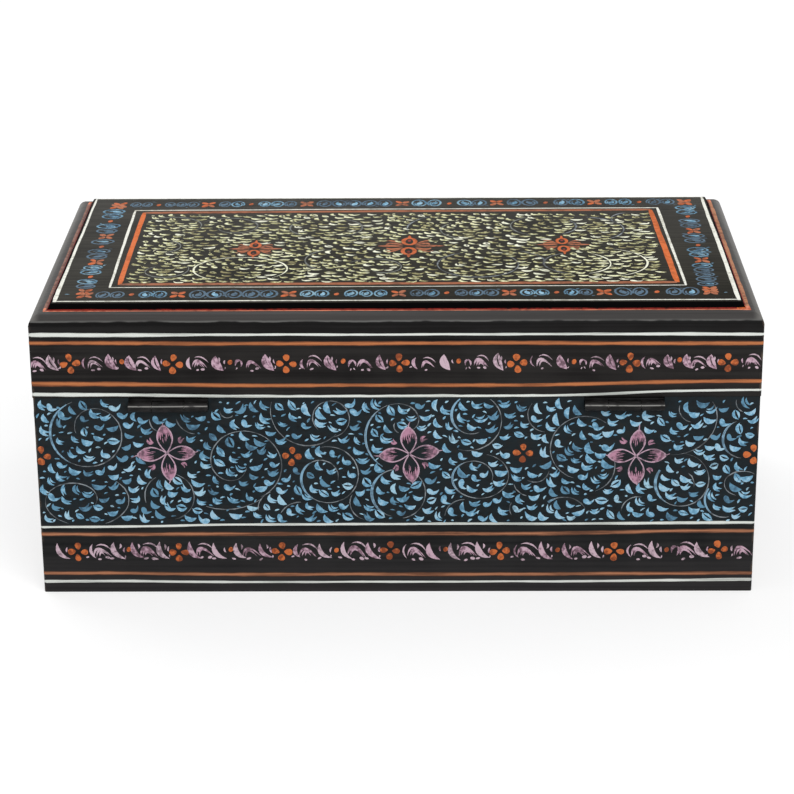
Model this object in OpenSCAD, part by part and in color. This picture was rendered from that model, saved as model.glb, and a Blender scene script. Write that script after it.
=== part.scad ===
// A painted papier mache box with a hinged lid, built as five boards below and six above.
// +X runs along the box, the hinges are on its +Y side, and +Z is up.
// The origin is the middle of the underside.

/* [Box body] */
// Length of the body over its walls
box_len = 180; // [120:1:300]
// Depth of the body over its walls
box_dep = 100; // [70:1:200]
// Height of the body, from the table to the parting line
base_ht = 53; // [30:1:120]
// Thickness of the walls and of the lid's rails
wall = 7; // [6.8:0.1:12]
// Thickness of the floor board
floor_thk = 4; // [2:0.5:10]
// Width of the rebate round the foot of the walls that the floor board sits in
floor_rebate = 3; // [1:0.5:4]
// Thickness that the long boards keep where they lap the ends of the short ones
corner_lap = 3; // [2:0.5:5]
// Radius of the upright outer corners
arris_r = 0.6; // [0.2:0.1:1.6]

/* [Lid] */
// Height of the lid's rails, from the parting line to the top board
rail_ht = 15; // [9:0.5:40]
// How far the lid stands proud of the body on each side
lid_proud = 0.15; // [0:0.05:0.4]
// Thickness of the top board
top_thk = 6.5; // [4:0.5:12]
// Radius of the rounded shoulder along the top board's upper edges
shoulder_r = 3.2; // [1:0.1:3.8]
// Flat ledge between the rounded shoulder and the foot of the raised panel
ledge = 1.05; // [0.4:0.05:3]
// Thickness of the raised panel
panel_thk = 1.5; // [0.6:0.1:4]
// How far the panel's bevelled edge leans in from its foot to its top
bevel_run = 0.9; // [0.1:0.1:3]

/* [Hinges] */
// Distance from each end of the body to the near end of a hinge
hinge_inset = 23.8; // [13:0.2:36]
// Length of a hinge over its knuckles
hinge_len = 19.6; // [16:0.2:22]
// How far a leaf reaches in from the back of the box
leaf_wid = 6; // [5.2:0.1:6.4]
// Thickness of a leaf
leaf_thk = 0.7; // [0.5:0.05:0.9]
// Outer diameter of the knuckles
barrel_d = 2.5; // [2.1:0.1:3.4]
// Diameter of the pin
pin_d = 1.1; // [0.8:0.05:1.3]
// Length of each of the two outer knuckles
outer_knuckle = 5.7; // [4:0.1:6.8]
// Height of the open slit between the knuckles and the lid's underside
slit_ht = 0.75; // [0.6:0.05:1.6]
// Run of the slope that carries the lid's leaf down to its knuckles
joggle_run = 0.8; // [0.5:0.1:1.2]
// How far the face of a leaf lies inside the curve of its knuckles, where it is rolled round
roll_in = 0.02; // [0.01:0.01:0.1]

/* [Hinge screws] */
// Diameter of a screw's shank
screw_d = 1.5; // [1:0.1:1.8]
// Diameter of a screw's countersunk head
screw_head_d = 2.9; // [2.4:0.1:3.2]
// Height of the countersunk head, from its face to the shank
screw_head_ht = 0.6; // [0.35:0.05:1.2]
// Length of a screw from the face of its head to its point
screw_len = 7; // [5:0.5:8]
// Length of a screw's point
screw_point = 1.4; // [0.8:0.1:2]
// Distance from the end of a leaf to the middle of a screw
screw_inset = 4; // [2.6:0.1:6]
// Width of the slot in a screw's head
slot_wid = 0.4; // [0.25:0.05:0.6]
// Depth of the slot in a screw's head
slot_dep = 0.3; // [0.15:0.05:0.4]

/* [Clearances] */
// Gap between one knuckle and the next
knuckle_gap = 0.15; // [0.05:0.05:0.3]
// Gap between the knuckles and the back of the body
barrel_gap = 0.05; // [0.05:0.05:0.5]
// Gap between a leaf's edge and the other leaf's knuckles
notch_gap = 0.25; // [0.15:0.05:0.4]
// Gap round a leaf in its housing
housing_gap = 0.1; // [0.05:0.05:0.3]
// Radial gap between the pin and the middle knuckle, which turns on it
pin_running = 0.04; // [0.01:0.01:0.1]
// Radial gap between the pin and the outer knuckles, which hold it
pin_held = 0.01; // [0.01:0.01:0.05]
// Gap round a screw in its leaf and its hole
screw_gap = 0.03; // [0.01:0.01:0.1]

/* [Hidden] */
$fn = 64;

LEFT = -1;
RIGHT = 1;
FRONT = -1;
BACK = 1;

black_lacquer = [0.16, 0.15, 0.15];
black_paint = [0.24, 0.23, 0.22];
dark_steel = [0.38, 0.36, 0.34];

// Cutters run past the faces that they open by this much
past = 1;
sink_past = 0.2;

// Lid: outline and the levels of its boards
lid_len = box_len + 2 * lid_proud;
lid_dep = box_dep + 2 * lid_proud;
top_z = base_ht + rail_ht;
panel_z = top_z + top_thk;
panel_foot = shoulder_r + ledge;

// Hinge: its line, its middle and the edges of its leaves
barrel_r = barrel_d / 2;
hinge_x = box_len / 2 - hinge_inset - hinge_len / 2;
hinge_y = box_dep / 2 + barrel_gap + barrel_r;
hinge_z = base_ht - slit_ht - barrel_r;
housing_z = hinge_z - barrel_r + roll_in;
step_top = hinge_z + barrel_r - roll_in;
middle_knuckle = hinge_len - 2 * outer_knuckle - 2 * knuckle_gap;
outer_x = (hinge_len - outer_knuckle) / 2;
leaf_in_y = box_dep / 2 - leaf_wid;
plate_out_y = hinge_y - barrel_r - notch_gap;
joggle_y = plate_out_y - joggle_run;

// Hinge screws: their lines and the levels of their heads
screw_x = hinge_len / 2 - screw_inset;
screw_y = (leaf_in_y + joggle_y) / 2;
box_head_z = housing_z + leaf_thk;
lid_head_z = base_ht - leaf_thk;

// Outline of a board box with its upright corners eased
module eased_outline(len, dep) {
    square([len - 2 * arris_r, dep], center = true);
    square([len, dep - 2 * arris_r], center = true);
    for (x = [-1, 1], y = [-1, 1])
        translate([x * (len / 2 - arris_r), y * (dep / 2 - arris_r)])
            circle(arris_r);
}

// Keeps of its children what lies inside the eased outline, between z and z + ht
module within_outline(len, dep, z, ht) {
    intersection() {
        translate([0, 0, z])
            linear_extrude(ht)
                eased_outline(len, dep);
        union() children();
    }
}

// A front or back board. At each end it is cut back to corner_lap, to lap the end board
module long_board(side, len, dep, z, ht) {
    within_outline(len, dep, z, ht)
        difference() {
            translate([-len / 2, side > 0 ? dep / 2 - wall : -dep / 2, z])
                cube([len, wall, ht]);
            for (end = [LEFT, RIGHT])
                translate([
                    end > 0 ? len / 2 - wall : -len / 2 - past,
                    side > 0 ? dep / 2 - wall - past : -dep / 2 + corner_lap,
                    z - past
                ])
                    cube([wall + past, wall + past - corner_lap, ht + 2 * past]);
        }
}

// An end board, which fits between the laps of the long ones
module end_board(side, len, dep, z, ht) {
    short = dep - 2 * corner_lap;
    translate([side > 0 ? len / 2 - wall : -len / 2, -short / 2, z])
        cube([wall, short, ht]);
}

// The floor board's outline, also cut as a rebate into the foot of the walls
module floor_block(z, ht) {
    len = box_len - 2 * (wall - floor_rebate);
    dep = box_dep - 2 * (wall - floor_rebate);
    translate([-len / 2, -dep / 2, z])
        cube([len, dep, ht]);
}

module floor_rebate_cut() {
    floor_block(-past, floor_thk + past);
}

// Housing in the top edge of the back wall that takes both leaves of a hinge when it is shut
module hinge_housing(side) {
    translate([
        side * hinge_x - hinge_len / 2 - housing_gap,
        leaf_in_y - housing_gap,
        housing_z
    ])
        cube([
            hinge_len + 2 * housing_gap,
            leaf_wid + housing_gap + past,
            base_ht - housing_z + past
        ]);
}

// Places its children on each of a hinge's two screw lines
module at_screws(side, z) {
    for (end = [-1, 1])
        translate([side * hinge_x + end * screw_x, screw_y, z])
            children();
}

// A countersunk screw, head face at z = 0 and point down
module screw() {
    difference() {
        rotate_extrude()
            polygon([
                [0, 0],
                [screw_head_d / 2, 0],
                [screw_d / 2, -screw_head_ht],
                [screw_d / 2, screw_point - screw_len],
                [0, -screw_len]
            ]);
        translate([-screw_head_d, -slot_wid / 2, -slot_dep])
            cube([2 * screw_head_d, slot_wid, slot_dep + past]);
    }
}

// Hole for a screw, larger than the screw all round. Its countersink runs on above the head
module screw_hole() {
    head_r = screw_head_d / 2 + screw_gap;
    shank_r = screw_d / 2 + screw_gap;
    flare = (head_r - shank_r) * sink_past / screw_head_ht;
    rotate_extrude()
        polygon([
            [0, sink_past],
            [head_r + flare, sink_past],
            [shank_r, -screw_head_ht],
            [shank_r, screw_point - screw_len],
            [0, -screw_len - screw_gap]
        ]);
}

// A round bar on the hinge line, centred at x
module on_hinge_line(x, len, r) {
    translate([x - len / 2, hinge_y, hinge_z])
        rotate([0, 90, 0])
            cylinder(h = len, r = r);
}

// Sweeps a profile drawn in y and z along x, centred at x
module plate_along(x, len) {
    translate([x - len / 2, 0, 0])
        rotate([90, 0, 90])
            linear_extrude(len)
                children();
}

// Section of the box's leaf: flat on the housing's floor, out to the bottom of its knuckle
module box_leaf_section() {
    translate([leaf_in_y, housing_z])
        square([hinge_y - leaf_in_y, leaf_thk]);
}

// Section of the lid's leaf: flat under the lid, then stepped down to the tops of its knuckles
module lid_leaf_section() {
    polygon([
        [leaf_in_y, base_ht],
        [joggle_y, base_ht],
        [plate_out_y, step_top],
        [hinge_y, step_top],
        [hinge_y, step_top - leaf_thk],
        [plate_out_y, step_top - leaf_thk],
        [joggle_y, base_ht - leaf_thk],
        [leaf_in_y, base_ht - leaf_thk]
    ]);
}

// Notch in a leaf's outer edge for a knuckle of the other leaf, centred at x
module knuckle_notch(x, len) {
    translate([x - len / 2, plate_out_y, housing_z - past])
        cube([len, barrel_d + past, base_ht - housing_z + 2 * past]);
}

// The leaf on the body, with the middle knuckle
module box_leaf(side) {
    mid = side * hinge_x;
    end_notch = outer_knuckle + knuckle_gap + past;
    color(black_paint)
        difference() {
            union() {
                difference() {
                    plate_along(mid, hinge_len) box_leaf_section();
                    for (end = [-1, 1])
                        knuckle_notch(mid + end * (middle_knuckle + end_notch) / 2, end_notch);
                }
                on_hinge_line(mid, middle_knuckle, barrel_r);
            }
            on_hinge_line(mid, hinge_len, pin_d / 2 + pin_running);
            at_screws(side, box_head_z) screw_hole();
        }
}

// The leaf on the lid, with the two outer knuckles
module lid_leaf(side) {
    mid = side * hinge_x;
    color(black_paint)
        difference() {
            union() {
                difference() {
                    plate_along(mid, hinge_len) lid_leaf_section();
                    knuckle_notch(mid, middle_knuckle + 2 * knuckle_gap);
                }
                for (end = [-1, 1])
                    on_hinge_line(mid + end * outer_x, outer_knuckle, barrel_r);
            }
            on_hinge_line(mid, hinge_len + past, pin_d / 2 + pin_held);
            at_screws(side, lid_head_z) mirror([0, 0, 1]) screw_hole();
        }
}

module hinge_pin(side) {
    color(dark_steel)
        on_hinge_line(side * hinge_x, hinge_len, pin_d / 2);
}

module box_screws(side) {
    color(dark_steel)
        at_screws(side, box_head_z) screw();
}

module lid_screws(side) {
    color(dark_steel)
        at_screws(side, lid_head_z) mirror([0, 0, 1]) screw();
}

module box_long_wall(side) {
    color(black_lacquer)
        difference() {
            long_board(side, box_len, box_dep, 0, base_ht);
            floor_rebate_cut();
            if (side == BACK)
                for (end = [LEFT, RIGHT]) {
                    hinge_housing(end);
                    at_screws(end, box_head_z) screw_hole();
                }
        }
}

module box_end_wall(side) {
    color(black_lacquer)
        difference() {
            end_board(side, box_len, box_dep, 0, base_ht);
            floor_rebate_cut();
        }
}

module lid_long_rail(side) {
    color(black_lacquer)
        difference() {
            long_board(side, lid_len, lid_dep, base_ht, rail_ht);
            if (side == BACK)
                for (end = [LEFT, RIGHT])
                    at_screws(end, lid_head_z) mirror([0, 0, 1]) screw_hole();
        }
}

module lid_end_rail(side) {
    color(black_lacquer)
        end_board(side, lid_len, lid_dep, base_ht, rail_ht);
}

// Section across the top board: square below, with a quarter round along each upper edge
module shouldered_section(wid) {
    square_ht = top_thk - shoulder_r;
    translate([-wid / 2, 0])
        square([wid, square_ht]);
    translate([-wid / 2 + shoulder_r, 0])
        square([wid - 2 * shoulder_r, top_thk]);
    for (end = [-1, 1])
        translate([end * (wid / 2 - shoulder_r), square_ht])
            circle(shoulder_r);
}

// Section across the raised panel: wide at its foot, with a bevelled edge each side
module bevelled_section(wid) {
    polygon([
        [-wid / 2, 0],
        [wid / 2, 0],
        [wid / 2 - bevel_run, panel_thk],
        [-wid / 2 + bevel_run, panel_thk]
    ]);
}

// Crosses a section drawn over the length with one drawn over the depth, so that edges meet in mitres
module mitred(len, dep, z) {
    intersection() {
        translate([0, dep / 2, z])
            rotate([90, 0, 0])
                linear_extrude(dep)
                    children(0);
        translate([-len / 2, 0, z])
            rotate([90, 0, 90])
                linear_extrude(len)
                    children(1);
    }
}

module lid_top() {
    color(black_lacquer)
        within_outline(lid_len, lid_dep, top_z, top_thk)
            mitred(lid_len, lid_dep, top_z) {
                shouldered_section(lid_len);
                shouldered_section(lid_dep);
            }
}

module raised_panel() {
    len = lid_len - 2 * panel_foot;
    dep = lid_dep - 2 * panel_foot;
    color(black_lacquer)
        mitred(len, dep, panel_z) {
            bevelled_section(len);
            bevelled_section(dep);
        }
}

module floor_board() {
    color(black_lacquer)
        floor_block(0, floor_thk);
}

box_long_wall(FRONT);  // front_wall
box_long_wall(BACK);  // back_wall
box_end_wall(LEFT);  // left_wall
box_end_wall(RIGHT);  // right_wall
floor_board();
lid_long_rail(FRONT);  // lid_front_rail
lid_long_rail(BACK);  // lid_back_rail
lid_end_rail(LEFT);  // lid_left_rail
lid_end_rail(RIGHT);  // lid_right_rail
lid_top();  // lid_top_board
raised_panel();  // lid_top_panel
box_leaf(LEFT);  // left_hinge_box_leaf
box_leaf(RIGHT);  // right_hinge_box_leaf
lid_leaf(LEFT);  // left_hinge_lid_leaf
lid_leaf(RIGHT);  // right_hinge_lid_leaf
hinge_pin(LEFT);  // left_hinge_pin
hinge_pin(RIGHT);  // right_hinge_pin
box_screws(LEFT);  // left_hinge_box_screws
box_screws(RIGHT);  // right_hinge_box_screws
lid_screws(LEFT);  // left_hinge_lid_screws
lid_screws(RIGHT);  // right_hinge_lid_screws
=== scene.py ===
"""The looks of a hinged papier mache box: black lacquered boards, painted scrolls, leaves and flowers.

Sizes and places are in millimetres until a finished piece goes into the frame, which is in metres.
A face is drawn flat, as the painter sees it: across to the right, up, and out towards the painter.
"""

import math
import random

import bpy
import numpy as np
from mathutils import Matrix, Vector


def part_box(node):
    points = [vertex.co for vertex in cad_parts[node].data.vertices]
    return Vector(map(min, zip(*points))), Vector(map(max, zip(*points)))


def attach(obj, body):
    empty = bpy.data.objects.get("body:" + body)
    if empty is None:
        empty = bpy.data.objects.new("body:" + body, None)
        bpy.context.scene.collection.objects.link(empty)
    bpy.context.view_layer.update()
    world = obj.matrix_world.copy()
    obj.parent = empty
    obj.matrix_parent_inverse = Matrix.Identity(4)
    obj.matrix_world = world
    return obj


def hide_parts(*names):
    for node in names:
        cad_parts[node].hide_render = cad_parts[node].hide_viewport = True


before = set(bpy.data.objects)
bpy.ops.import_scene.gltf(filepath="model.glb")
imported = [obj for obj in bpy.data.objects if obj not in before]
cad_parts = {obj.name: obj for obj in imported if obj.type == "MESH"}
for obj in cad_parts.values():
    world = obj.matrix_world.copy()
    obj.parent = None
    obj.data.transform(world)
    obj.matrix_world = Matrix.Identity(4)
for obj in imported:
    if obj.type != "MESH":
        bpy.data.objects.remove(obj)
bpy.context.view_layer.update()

MM = 0.001

# ---------------------------------------------------------------- sizes taken from the frame

_, wall_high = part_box("back_wall")
BOX_HALF_LEN = wall_high.x / MM
BOX_HALF_DEP = wall_high.y / MM
PARTING = wall_high.z / MM

_, lid_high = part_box("lid_top_board")
LID_HALF_LEN = lid_high.x / MM
LID_HALF_DEP = lid_high.y / MM
LEDGE_Z = lid_high.z / MM

_, panel_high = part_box("lid_top_panel")
PANEL_Z = panel_high.z / MM
PANEL_FOOT_LEN = panel_high.x / MM
PANEL_FOOT_DEP = panel_high.y / MM

hinge_low, hinge_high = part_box("right_hinge_lid_leaf")
HINGE_MIDDLE = (hinge_low.x / MM + hinge_high.x / MM) / 2

ARRIS = 0.6  # radius of the boards' upright corners

# ---------------------------------------------------------------- the painter's layout

FIELD_LOW = 18.6  # blue field, between its white lines
FIELD_HIGH = 52.6
BASE_BAND = 11.2  # middle of the lower flower band
LID_BAND = 62.0  # middle of the lid's flower band
FLOWER_PITCH = 27.0  # from one flower of a band to the next

# The lines that run round the box, from the foot up: paint, then height and half width as they stand
# at the left, the middle and the right of the hinge side.
BOX_LINES = (
    ("white_line", (3.0, 2.7, 3.15), (0.46, 0.34, 0.47)),
    ("base_orange_line", (5.3, 4.8, 4.95), (0.66, 0.7, 0.7)),
    ("base_orange_line", (16.1, 16.05, 16.75), (0.72, 0.72, 0.7)),
    ("white_line", (18.05, 18.75, 18.95), (0.37, 0.37, 0.48)),
)
LID_LINES = (
    ("white_line", (54.0, 53.3, 54.8), (0.56, 0.38, 0.36)),
    ("orange_line", (56.8, 56.2, 57.1), (0.8, 0.64, 0.67)),
    ("orange_line", (67.45, 67.2, 66.95), (0.66, 0.66, 0.68)),
    ("white_line", (69.6, 69.5, 69.35), (0.64, 0.36, 0.5)),
)

BACK_LID_FLOWERS = (-80.3, -54.9, -27.0, 0.8, 29.8, 57.5, 81.6)
BACK_BASE_FLOWERS = (-80.9, -55.3, -29.2, -1.8, 26.0, 54.8, 81.1)

BIG_FLOWERS = ((-57.3, 38.2), (3.2, 37.8), (59.7, 37.1))
SMALL_FLOWERS = ((-26.1, 37.3), (31.5, 38.0))
EDGE_FLOWER = 1.1  # from the middle of the flower at a corner to the corner
EDGE_FLOWER_UP = 37.5

# ---------------------------------------------------------------- materials

PAINT_GLOSS = 0.15
NEAR = 0.7  # how deep below a face the lacquer still counts as outside

# heights on the walls and the shoulder, and lengths along the lid, where the scuffing, the painted sheen,
# the painted highlight and the painted shade change
SCUFF_FULL = 1.5
SCUFF_TOP = 15.0
SHEEN_START = 73.15
SHEEN_FULL = 73.45
END_SHEEN_FROM = 87.0
END_SHEEN_TO = 89.9
GLEAM_BAND = (73.08, 73.3, 73.38, 73.68)
SHADE_BAND = (72.0, 72.6, 73.0, 73.16)
WORN = (84, 72, 62)
# painted sheen, paler on the shoulder's rounded ends
END_SHEEN = (112, 110, 107)
# painted highlight along the shoulder
GLEAM = (92, 92, 90)
# painted shade on the shoulder below the highlight
SHADE = (13, 12, 12)

# the bright line on the hinge barrels, rubbed wear with a painted highlight: how far back it starts, and
# its heights
BARREL_FROM = 51.5
BARREL_TO = 51.9
CREST_BAND = (51.47, 51.58, 51.73, 51.84)


def tint(red, green, blue):
    """A colour as it looks, 0 to 255, turned into the linear light that sockets take."""

    def linear(part):
        part /= 255
        return part / 12.92 if part <= 0.04045 else ((part + 0.055) / 1.055) ** 2.4

    return (linear(red), linear(green), linear(blue), 1.0)


def start_material(name):
    material = bpy.data.materials.new(name)
    material.use_nodes = True
    tree = material.node_tree
    shader = tree.nodes["Principled BSDF"]
    coords = tree.nodes.new("ShaderNodeTexCoord")
    return material, tree, shader, coords.outputs["Object"]


def noise(tree, place, stretch, detail=3.0, rough=0.55):
    """Cloudy noise in the object's own metres; stretch is its patches per metre, one number or three."""
    mapping = tree.nodes.new("ShaderNodeMapping")
    mapping.inputs["Scale"].default_value = stretch if isinstance(stretch, tuple) else (stretch,) * 3
    tree.links.new(place, mapping.inputs["Vector"])
    cloud = tree.nodes.new("ShaderNodeTexNoise")
    cloud.inputs["Scale"].default_value = 1.0
    cloud.inputs["Detail"].default_value = detail
    cloud.inputs["Roughness"].default_value = rough
    tree.links.new(mapping.outputs["Vector"], cloud.inputs["Vector"])
    return cloud.outputs["Fac"]


def spread(tree, value, low, high, to_low=0.0, to_high=1.0):
    """The value taken from low..high to to_low..to_high, smoothly and clamped."""
    ranged = tree.nodes.new("ShaderNodeMapRange")
    ranged.interpolation_type = "SMOOTHSTEP"
    ranged.inputs["From Min"].default_value = low
    ranged.inputs["From Max"].default_value = high
    ranged.inputs["To Min"].default_value = to_low
    ranged.inputs["To Max"].default_value = to_high
    tree.links.new(value, ranged.inputs["Value"])
    return ranged.outputs["Result"]


def calc(tree, operation, first, second=None):
    node = tree.nodes.new("ShaderNodeMath")
    node.operation = operation
    for socket, value in zip(node.inputs, (first, second)):
        if value is None:
            continue
        if isinstance(value, (int, float)):
            socket.default_value = value
        else:
            tree.links.new(value, socket)
    return node.outputs[0]


def multiply(tree, *values):
    product = values[0]
    for value in values[1:]:
        product = calc(tree, "MULTIPLY", product, value)
    return product


def weigh(tree, first, share, second):
    """The first value by its share, and the second by the rest."""
    return calc(tree, "ADD", multiply(tree, first, share), multiply(tree, second, 1 - share))


def axes(tree, vector):
    """The three parts of a vector, as outputs named X, Y and Z."""
    node = tree.nodes.new("ShaderNodeSeparateXYZ")
    tree.links.new(vector, node.inputs["Vector"])
    return node.outputs


def height_band(tree, height, start, full, fading, end):
    """1 from the height full to fading, and 0 below start and above end, all in millimetres."""
    rise = spread(tree, height, start * MM, full * MM)
    fall = spread(tree, height, end * MM, fading * MM)
    return multiply(tree, rise, fall)


def near_face(tree, place, distance):
    """1 close to the two faces that stand this far from the middle."""
    away = calc(tree, "ABSOLUTE", place)
    return spread(tree, away, (distance - NEAR) * MM, distance * MM)


def blend_colours(tree, share, first, second):
    """Two colours, each an output or three numbers from 0 to 255, mixed by the second one's share."""
    mix = tree.nodes.new("ShaderNodeMix")
    mix.data_type = "RGBA"
    tree.links.new(share, mix.inputs["Factor"])
    for socket, colour in ((mix.inputs["A"], first), (mix.inputs["B"], second)):
        if isinstance(colour, tuple):
            socket.default_value = tint(*colour)
        else:
            tree.links.new(colour, socket)
    return mix.outputs["Result"]


def coat(tree, shader, colour, roughness, gloss):
    """Gives the surface its colour, its roughness and its share of mirrored light."""
    tree.links.new(colour, shader.inputs["Base Color"])
    tree.links.new(roughness, shader.inputs["Roughness"])
    shader.inputs["Specular IOR Level"].default_value = gloss


def raise_grain(tree, shader, height, strength, depth):
    bump = tree.nodes.new("ShaderNodeBump")
    bump.inputs["Strength"].default_value = strength
    bump.inputs["Distance"].default_value = depth * MM
    tree.links.new(height, bump.inputs["Height"])
    tree.links.new(bump.outputs["Normal"], shader.inputs["Normal"])


def brushed_paint(name, full, thin, patch=1.6, streak=9.0, low=0.36, high=0.54, thick=None):
    """Opaque water paint under varnish: full where the brush was loaded, thin where it ran dry.

    Patch and streak are the sizes of its clouds in millimetres. Thick is the paler colour of the places
    where the paint lies in a ridge.
    """
    material, tree, shader, place = start_material(name)
    cloud = noise(tree, place, 1000.0 / patch, 2.0)
    load = weigh(tree, cloud, 0.6, noise(tree, place, 1000.0 / streak, 1.0))
    colour = blend_colours(tree, spread(tree, load, low, high), thin, full)
    if thick:
        colour = blend_colours(tree, spread(tree, load, 0.48, 0.6), colour, thick)
    raise_grain(tree, shader, noise(tree, place, 2600.0, 2.0), 0.2, 0.02)
    coat(tree, shader, colour, spread(tree, cloud, 0.3, 0.7, 0.66, 0.52), PAINT_GLOSS)
    return material


def pulled_paint(name, full, thin, rim, low, high, edge, core):
    """The paint of a long line pulled round the box, streaked along it by the hairs and thin at its rims.

    Low and high say how much of it is fully loaded. Edge and core say where the rim's colour ends and the
    full colour starts, from 0 at the rim to 1 at the crest.
    """
    material, tree, shader, place = start_material(name)
    hairs = noise(tree, place, (70.0, 70.0, 3200.0))
    load = weigh(tree, hairs, 0.55, noise(tree, place, (46.0, 46.0, 500.0), 2.0))
    crest = tree.nodes.new("ShaderNodeAttribute")
    crest.attribute_name = "crest"
    ragged = multiply(tree, noise(tree, place, (240.0, 240.0, 900.0), 2.0), 0.4)
    inside = calc(tree, "ADD", crest.outputs["Fac"], ragged)
    side = blend_colours(tree, spread(tree, inside, *edge), rim, thin)
    loaded = multiply(tree, spread(tree, load, low, high), spread(tree, inside, *core))
    raise_grain(tree, shader, hairs, 0.3, 0.02)
    colour = blend_colours(tree, loaded, side, full)
    coat(tree, shader, colour, spread(tree, load, 0.3, 0.6, 0.68, 0.52), PAINT_GLOSS)
    return material


def black_lacquer(name, dark, pale, gloss=0.07, foot=None, field=None, sheen_grey=None):
    """Brushed black lacquer: long grain round the sides, grain along the top, paler rubbed corners; on the
    shoulder, a painted sheen, a painted highlight and painted shade.
    """
    material, tree, shader, place = start_material(name)
    geometry = tree.nodes.new("ShaderNodeNewGeometry")
    facing = axes(tree, geometry.outputs["Normal"])
    flat = spread(tree, calc(tree, "ABSOLUTE", facing["Z"]), 0.5, 0.8)
    grain_pick = tree.nodes.new("ShaderNodeMix")
    tree.links.new(flat, grain_pick.inputs["Factor"])
    tree.links.new(noise(tree, place, (14.0, 14.0, 900.0), 4.0, 0.6), grain_pick.inputs["A"])
    tree.links.new(noise(tree, place, (14.0, 900.0, 14.0), 4.0, 0.6), grain_pick.inputs["B"])
    grain = grain_pick.outputs["Result"]
    tone = weigh(tree, grain, 0.6, noise(tree, place, 60.0))
    ground = blend_colours(tree, spread(tree, tone, 0.35, 0.65), dark, pale)

    where = axes(tree, place)
    end_near = near_face(tree, where["X"], BOX_HALF_LEN)
    side_near = near_face(tree, where["Y"], BOX_HALF_DEP)
    rub = spread(tree, noise(tree, place, (420.0, 420.0, 260.0), 4.0), 0.5, 0.62)
    rubbed = multiply(tree, multiply(tree, end_near, side_near), rub)
    if field:  # blue that the wet brush left between the leaves, on the outside only
        above = spread(tree, where["Z"], (FIELD_LOW - 0.2) * MM, (FIELD_LOW + 0.6) * MM)
        outside = calc(tree, "MAXIMUM", end_near, side_near)
        wash = spread(tree, noise(tree, place, 500.0, 2.0), 0.35, 0.6, 0.3, 0.9)
        ground = blend_colours(tree, multiply(tree, above, outside, wash), ground, field)
    if foot:  # the foot of the walls, scuffed paler than the rest
        scuffed = spread(tree, where["Z"], SCUFF_TOP * MM, SCUFF_FULL * MM)
        streaks = spread(tree, grain, 0.3, 0.7, 0.6, 1.0)
        ground = blend_colours(tree, multiply(tree, scuffed, streaks), ground, foot)
    if sheen_grey:  # painted sheen: the top of the shoulder greyed as if lit from above, paler on its rounded ends, with a painted highlight and painted shade below it
        wander = noise(tree, place, 90.0)
        height = calc(tree, "ADD", where["Z"], multiply(tree, wander, 0.9 * MM))
        sheen_mask = spread(tree, height, SHEEN_START * MM, SHEEN_FULL * MM)
        streaks = spread(tree, grain, 0.3, 0.7, 0.75, 1.0)
        ground = blend_colours(tree, multiply(tree, sheen_mask, streaks), ground, sheen_grey)
        end_sheen = spread(tree, calc(tree, "ABSOLUTE", where["X"]), END_SHEEN_FROM * MM, END_SHEEN_TO * MM)
        ground = blend_colours(tree, multiply(tree, sheen_mask, end_sheen), ground, END_SHEEN)
        # painted highlight: a pale line along the shoulder
        gleam = multiply(tree, height_band(tree, height, *GLEAM_BAND), spread(tree, wander, 0.3, 0.6))
        ground = blend_colours(tree, gleam, ground, GLEAM)
        # painted shade: a dark band under the highlight
        shade = multiply(tree, height_band(tree, height, *SHADE_BAND), streaks)
        ground = blend_colours(tree, shade, ground, SHADE)

    raise_grain(tree, shader, grain, 0.35, 0.03)
    colour = blend_colours(tree, rubbed, ground, WORN)
    coat(tree, shader, colour, spread(tree, tone, 0.3, 0.7, 0.56, 0.44), gloss)
    return material


def edge_black_and_shade(name):
    """The flat black left on the panel's sloping edge, with no varnish over it, darkened past the lacquer
    as painted shade.
    """
    material, tree, shader, place = start_material(name)
    strokes = noise(tree, place, (40.0, 40.0, 900.0))
    colour = blend_colours(tree, strokes, (3, 3, 4), (9, 8, 8))
    tree.links.new(colour, shader.inputs["Base Color"])
    raise_grain(tree, shader, strokes, 0.3, 0.02)
    shader.inputs["Roughness"].default_value = 0.85
    shader.inputs["Specular IOR Level"].default_value = 0.02
    return material


def painted_steel(name, paint, smudged, worn_and_highlight):
    """Black painted steel, with a thin bright line along the crest of the barrel: rubbed down, and a
    painted highlight.
    """
    material, tree, shader, place = start_material(name)
    where = axes(tree, place)
    waver = multiply(tree, noise(tree, place, 60.0, 1.0), 0.2 * MM)
    height = calc(tree, "ADD", where["Z"], waver)
    on_back = spread(tree, where["Y"], BARREL_FROM * MM, BARREL_TO * MM)
    crest = multiply(tree, on_back, height_band(tree, height, *CREST_BAND))
    scuff = spread(tree, noise(tree, place, (420.0, 900.0, 900.0), 4.0), 0.34, 0.5, 0.25, 1.0)
    smudge = spread(tree, noise(tree, place, (300.0, 700.0, 700.0)), 0.4, 0.6)
    painted = blend_colours(tree, smudge, paint, smudged)
    drips = noise(tree, place, 500.0)
    raise_grain(tree, shader, drips, 0.3, 0.04)
    colour = blend_colours(tree, multiply(tree, crest, scuff), painted, worn_and_highlight)
    coat(tree, shader, colour, spread(tree, drips, 0.3, 0.7, 0.4, 0.56), 0.14)
    return material


def dull_steel(name):
    material, tree, shader, place = start_material(name)
    shader.inputs["Metallic"].default_value = 1.0
    scratches = noise(tree, place, (300.0, 2400.0, 2400.0), 4.0)
    colour = blend_colours(tree, scratches, (112, 109, 105), (158, 155, 150))
    tree.links.new(colour, shader.inputs["Base Color"])
    tree.links.new(spread(tree, scratches, 0.3, 0.7, 0.32, 0.5), shader.inputs["Roughness"])
    raise_grain(tree, shader, scratches, 0.15, 0.01)
    return material


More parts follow.
